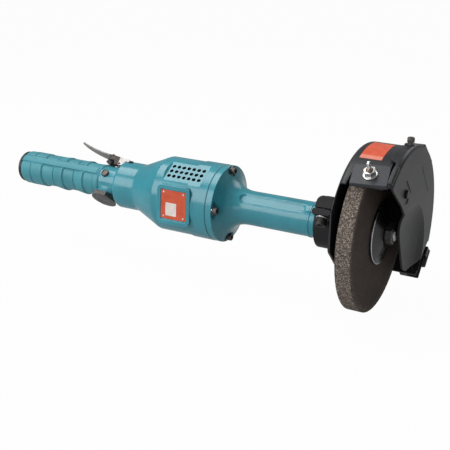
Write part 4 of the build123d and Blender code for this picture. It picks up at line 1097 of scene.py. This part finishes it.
def nose_shape():
    """Flange, flare and neck, with lens-shaped screw seats and two long scoops."""
    flare = (
        (349.5, 51.1), (351, 46.5), (353, 41.8), (356, 36.0), (359, 32.0), (362, 29.2),
        (366, 26.6), (370, 24.9), (374, 23.8), (379, 23.0), (385, 22.7),
    )
    neck_r = 22.7
    ring_r = 23.4
    seat_end = 362
    outside = []
    for (start, high), (end, low) in zip(flare, flare[1:]):
        count = max(3, round(math.hypot(end - start, high - low) / 0.7))
        for index in range(count):
            along = start + (end - start) * (index / count)
            outside.append((along, faired(flare, along)))
    neck = [(along, neck_r) for along in evenly(385, 469, 1.5)]
    rings = []
    for start in (470.2, 477.2):
        rings += [(start, neck_r), (start + 0.7, ring_r), (start + 2.9, ring_r), (start + 3.6, neck_r)]
    shape = turned(
        [
            (330, 16), (330, 40.9), (340.4, 40.9), (340.4, 51.5), (340.7, 51.8), (348.9, 51.8),
            (349.2, 51.6), *outside, *neck, *rings, (482.7, neck_r), (484.2, 26), (531, 26),
            (531, 21), (503, 21), (503, 12), (374.6, 12), (374.6, 16),
        ],
        288,
    )
    reshaped(shape, scooped)
    for point in shape.verts:
        if SEAT_FACE * MM < point.co.x < seat_end * MM:
            inside = max(seat_depth(point.co.y / MM, point.co.z / MM, *place) for place in screw_places)
            point.co.x += (SEAT_FACE * MM - point.co.x) * smooth_step(-0.1, 0.45, inside)
    return shape


def faired(stations, along):
    """Smooth curve through (along, radius) stations."""
    for index in range(len(stations) - 1):
        start, high = stations[index]
        end, low = stations[index + 1]
        if along <= end:
            break
    before = stations[max(0, index - 1)]
    after = stations[min(len(stations) - 1, index + 2)]
    share = (along - start) / (end - start)
    lead = (low - before[1]) / (end - before[0]) * (end - start)
    trail = (after[1] - high) / (after[0] - start) * (end - start)
    square = share * share
    cube = square * share
    return (
        (2 * cube - 3 * square + 1) * high
        + (cube - 2 * square + share) * lead
        + (3 * square - 2 * cube) * low
        + (cube - square) * trail
    )


def scooped(along, radius, angle):
    """Long scoops sunk into the neck's upper side, running out into the flare."""
    middle = 419.1
    half_length = 39
    half_width = 8
    depth = 2.2
    scoop_turns = (47, 133)
    for place in scoop_turns:
        turn = angle + math.radians(90 - place)
        height = radius * math.cos(turn)
        if 22 < radius < 30 and height > 10 and 370 < along < 468:
            past_end = max(0.0, abs(along - middle) - half_length)
            inside = half_width - math.hypot(past_end, radius * math.sin(turn))
            sunk = max(0.0, height - radius + depth) * smooth_step(0, 2.6, inside)
            return radius * (height - sunk) / height if inside > 0 else radius
    return radius


def seat_depth(y, z, place_y, place_z):
    """How far a place is inside a screw's lens-shaped seat."""
    arc = 15.55
    arc_centre = 9.25
    reach = math.hypot(place_y, place_z)
    out = (y * place_y + z * place_z) / reach - reach
    across = (z * place_y - y * place_z) / reach
    return arc - math.hypot(across, abs(out) + arc_centre)


# Wheel


def wheel_shape():
    """Ring whose rim and sides are pitted inward by the lost grains."""
    near_x = 541.0
    far_x = 560.05
    bore = 7.95
    rim = [(along, 101.6) for along in evenly(541.3, 559.75, 0.8)]
    side = evenly(101.3, 84.0, 1.0) + [80, 74, 66, 56, 44, 30]
    near = [(near_x, radius) for radius in reversed(side)]
    far = [(far_x, radius) for radius in side]
    shape = turned([(near_x, bore), *near, *rim, *far, (far_x, bore)], 640)
    middle_x = 0.5505
    pitted_from = 0.086
    rim_from = 0.1014
    rim_pit = 0.00055
    side_pit = 0.0003
    for point in shape.verts:
        radius = math.hypot(point.co.y, point.co.z)
        if radius > pitted_from:
            pit = max(0.0, noise.noise(point.co * 700.0)) + 0.4 * max(0.0, noise.noise(point.co * 1600.0))
            depth = min(1.0, (radius - pitted_from) / 0.012) * pit
            if radius > rim_from:
                share = 1 - rim_pit * depth / radius
                point.co.y *= share
                point.co.z *= share
            else:
                point.co.x += math.copysign(side_pit * depth, middle_x - point.co.x)
    return shape


# Guard sheets


def straighten_tongue(shape):
    """Lean the tongue's side edges with the drum's slot, and keep its own slot straight."""
    turn = Matrix.Rotation(math.radians(TONGUE_TURN), 4, "X")
    middle_x = 563.75
    slot_half = 9
    slot_shift = 1.15
    lean = -0.07
    for point in shape.verts:
        place = turn.inverted() @ point.co / MM
        place.x += slot_shift if abs(place.x - middle_x) < slot_half else lean * place.y
        place.y -= 0.4
        point.co = turn @ place * MM


def shape_cover(shape):
    """A pan-like dish with a crisp edge, a skirt tapered to the tongue and a rolled rib beside it."""
    to_guard = Matrix.Rotation(math.radians(-LEAN), 4, "X")
    to_tongue = Matrix.Rotation(math.radians(-TONGUE_TURN), 4, "X")
    face_x = 0.595
    skirt_x = 0.5868
    dish_y = 24.0
    dish_z = -12.0
    dish_r = 64.0
    dish_depth = 9.0
    deeper = 1.5
    steepness = 3.2
    to_rear = 5.5
    for point in shape.verts:
        place = to_guard @ point.co / MM
        out = math.hypot(place.y - dish_y, place.z - dish_z)
        if out < dish_r + 0.02 and place.x > 582.5:
            share = min(1.0, out / dish_r)
            place.x += dish_depth * (share**steepness - share**2) - deeper * (1 - share**steepness)
            place.y += to_rear * smooth_step(-40.0, 60.0, place.y - dish_y)
            point.co = to_guard.inverted() @ place * MM
        place = to_tongue @ point.co / MM
        if abs(place.y - 9.0) < 0.6 and place.x < 584 and place.z > 100:
            point.co.x = skirt_x
    rib = []
    for edge in shape.edges:
        on_face = all(abs(point.co.x - face_x) < 1e-5 for point in edge.verts)
        if on_face and edge.calc_face_angle(0) > math.radians(6):
            edge.smooth = False
        places = [to_tongue @ point.co / MM for point in edge.verts]
        beside = all(abs(place.y + 13) < 16 and place.z > 100 for place in places)
        if beside and all(place.yz.length > 115.5 for place in places) and edge.calc_face_angle(0) > 1:
            rib.append(edge)
    bevelled(shape, rib, 1.6, 4)


def bend_rim(shape):
    """Turn the back plate into the drum on one large radius, with no line between the two."""
    bend_r = 8
    bend_end = 537
    joint_x = 0.532
    for along in (529.35, 530.0, 530.8, 533.0, 534.2, 535.6, 537.0):
        parts = list(shape.verts) + list(shape.edges) + list(shape.faces)
        place = (along * MM, 0, 0)
        bmesh.ops.bisect_plane(shape, geom=parts, dist=1e-6, plane_co=place, plane_no=(1, 0, 0))
    for point in shape.verts:
        along = point.co.x / MM
        radius = point.co.yz.length / MM
        if along < bend_end and radius > 103:
            bend = bend_r - math.sqrt(max(0.0, bend_r**2 - (bend_end - along) ** 2))
            point.co.yz *= (radius - bend) / radius
    weight = shape.edges.layers.float.new("bevel_weight_edge")
    for edge in shape.edges:
        if edge.calc_face_angle(0) > math.radians(SHARP_EDGE):
            places = [point.co for point in edge.verts]
            seam = all(abs(place.x - joint_x) < 1e-5 and place.yz.length > 0.1 for place in places)
            edge[weight] = 0.0 if seam else 1.0
            edge.smooth = not seam


def outer_flange_shape():
    """Turned clamping flange with a bright rim."""
    bore = 7.96
    recess_r = 28.0
    slope = [(563.85 + 5.35 * share, 39.2 - 21.6 * share) for share in (0, 0.02, 0.2, 0.45, 0.7, 0.95)]
    shape = turned(
        [
            (562.05, bore), (562.05, recess_r), (560.55, recess_r), (560.55, 39.7),
            (560.85, 40.0), (563.2, 40.0), (563.6, 39.8), *slope, (569.4, 17.6),
            (FLANGE_FACE, 17.0), (FLANGE_FACE, bore),
        ],
        160,
    )
    for face in shape.faces:
        middle = face.calc_center_median()
        if 0.5632 < middle.x < 0.56392 and middle.yz.length > 39.1 * MM:
            face.material_index = 1
    return shape


def slim_handle(shape):
    """Leave room for the grip's last waves and for the front strip beyond them."""
    waist_r = 21.4
    strip_r = 22
    for point in shape.verts:
        radius = point.co.yz.length / MM
        turn = math.degrees(math.atan2(point.co.z, -point.co.y))
        if 0.1195 < point.co.x < 0.149 and waist_r < radius < 25:
            point.co.yz *= waist_r / radius
        elif 0.149 <= point.co.x < 0.1785 and abs(turn - STRIP_TURNS[0]) < 20 and strip_r < radius < 24.8:
            point.co.yz *= strip_r / radius


# Dressing the tool

for node_name, node in nodes.items():
    node.data.materials.clear()
    node.data.materials.append(finish_of[slot_of[node_name]].material)
    node.data.shade_smooth()
nodes["housing_gasket"].data.materials[0] = dark_teal.material

dress("grip_sleeve", grip_shape())
dress("inlet_bushing", inlet_shape())
# The felt on the housing and vent panel is painted shade in the vent pocket.
dress("motor_housing", motor_shape(), finishes=[teal_paint, felt])
panel_piece = add_piece("vent_panel", vent_panel(), "motor_housing", [teal_paint, felt], replaced=False)
smooth_faces(panel_piece)
pad = nameplate_frame()
# Its rounded edges take the paler teal: a painted highlight.
frame_piece = add_piece("nameplate_frame", pad, "motor_housing", [teal_paint, teal_edge_highlight], replaced=False)
round_edges(frame_piece, 0.35, degrees=30.0, segments=3)
dress("nose_housing", nose_shape())
dress("flange_screws", flange_screw_shapes(), finishes=[cap_steel])
dress("lock_washers", lock_washer_shapes(), finishes=[washer_steel])
dress("clamp_screw", clamp_screw_shape())
dress("clamp_washer", clamp_washer_shape(), finishes=[washer_steel])
dress("cover_screw", cover_screw_shape(), finishes=[cap_steel])
dress("valve_cap", valve_cap_shape(), finishes=[cap_steel])
dress("spindle_nut", spindle_nut_shape(), finishes=[cap_steel])
# The stud's second finish is painted shade on its threads.
dress("tongue_stud", stud_shape(), finishes=[washer_steel, thread_shade_steel])
dress("tongue_nut", tongue_nut_shape(), finishes=[washer_steel])
dress("tongue_washer", tongue_washer_shape(), finishes=[washer_steel])
dress("regulator_dial", dial_shape(), finishes=[dial_steel])
dress("nameplate_rivets", rivet_shapes())
dress("grinding_wheel", wheel_shape())
dress("nameplate", rounded_block((272.8, -51.4, -19.75), (311.6, -50.8, 19.75), 1.2), width=0.12)
field = rounded_block((280.4, -51.45, -15.2), (297.0, -51.35, 2.6), 0.5)
field_piece = add_piece("nameplate_field", field, "nameplate", [pale_panel], replaced=False)
smooth_faces(field_piece)

edge_of = {
    "handle_casting": 0.0,
    "guard_back_plate": 0.6,
    "guard_drum": 0.5,
    "guard_cover": 0.5,
    "cover_stiffener": 0.5,
    "hinge_leaf": 0.5,
    "lock_tab": 0.6,
    "inner_flange": 0.6,
    "oil_plug": 0.25,
    "stiffener_screw": 0.6,
    "hinge_pin": 0.3,
    "lever_pin": 0.25,
    "lock_pin": 0.2,
    "spindle": 0.3,
    "guard_label": 0.08,
}
reform_of = {
    "handle_casting": slim_handle,
    "guard_cover": shape_cover,
    "guard_back_plate": bend_rim,
    "guard_drum": bend_rim,
}
for node_name, edge in edge_of.items():
    fair_copy(node_name, edge, reform=reform_of.get(node_name))
fair_copy("throttle_lever", 0.3, finish=lever_steel)
fair_copy("guard_collar", 0.6, finish=collar_black)
# The tongue's lighter paint is painted light.
fair_copy("tongue_plate", 0.5, finish=tongue_lit_paint, reform=straighten_tongue)
dress("outer_flange", outer_flange_shape(), finishes=[gloss_black, rim_steel])

photo_camera()
white_room(level=0.3)
pale_floor(height=cad_box[0][2] - 0.0005, lift=0.975)
soft_lamp("front", (-0.56, -1.5, 0.72), (0.3, 0, 0.05), width=1.4, height=1.2, power=22.5)
soft_lamp("overhead", (-0.45, -0.1, 1.65), (0.3, 0, 0), width=1.2, height=1.2, power=22)
soft_lamp("low_fill", (0.55, -1.7, 0.05), (0.5, 0, -0.05), width=0.9, height=0.5, power=2.5)
soft_lamp("rim", (0.9, 1.4, 1.2), (0.4, 0, 0), width=1.0, height=1.0, power=8)

bpy.context.scene.view_settings.view_transform = "Standard"
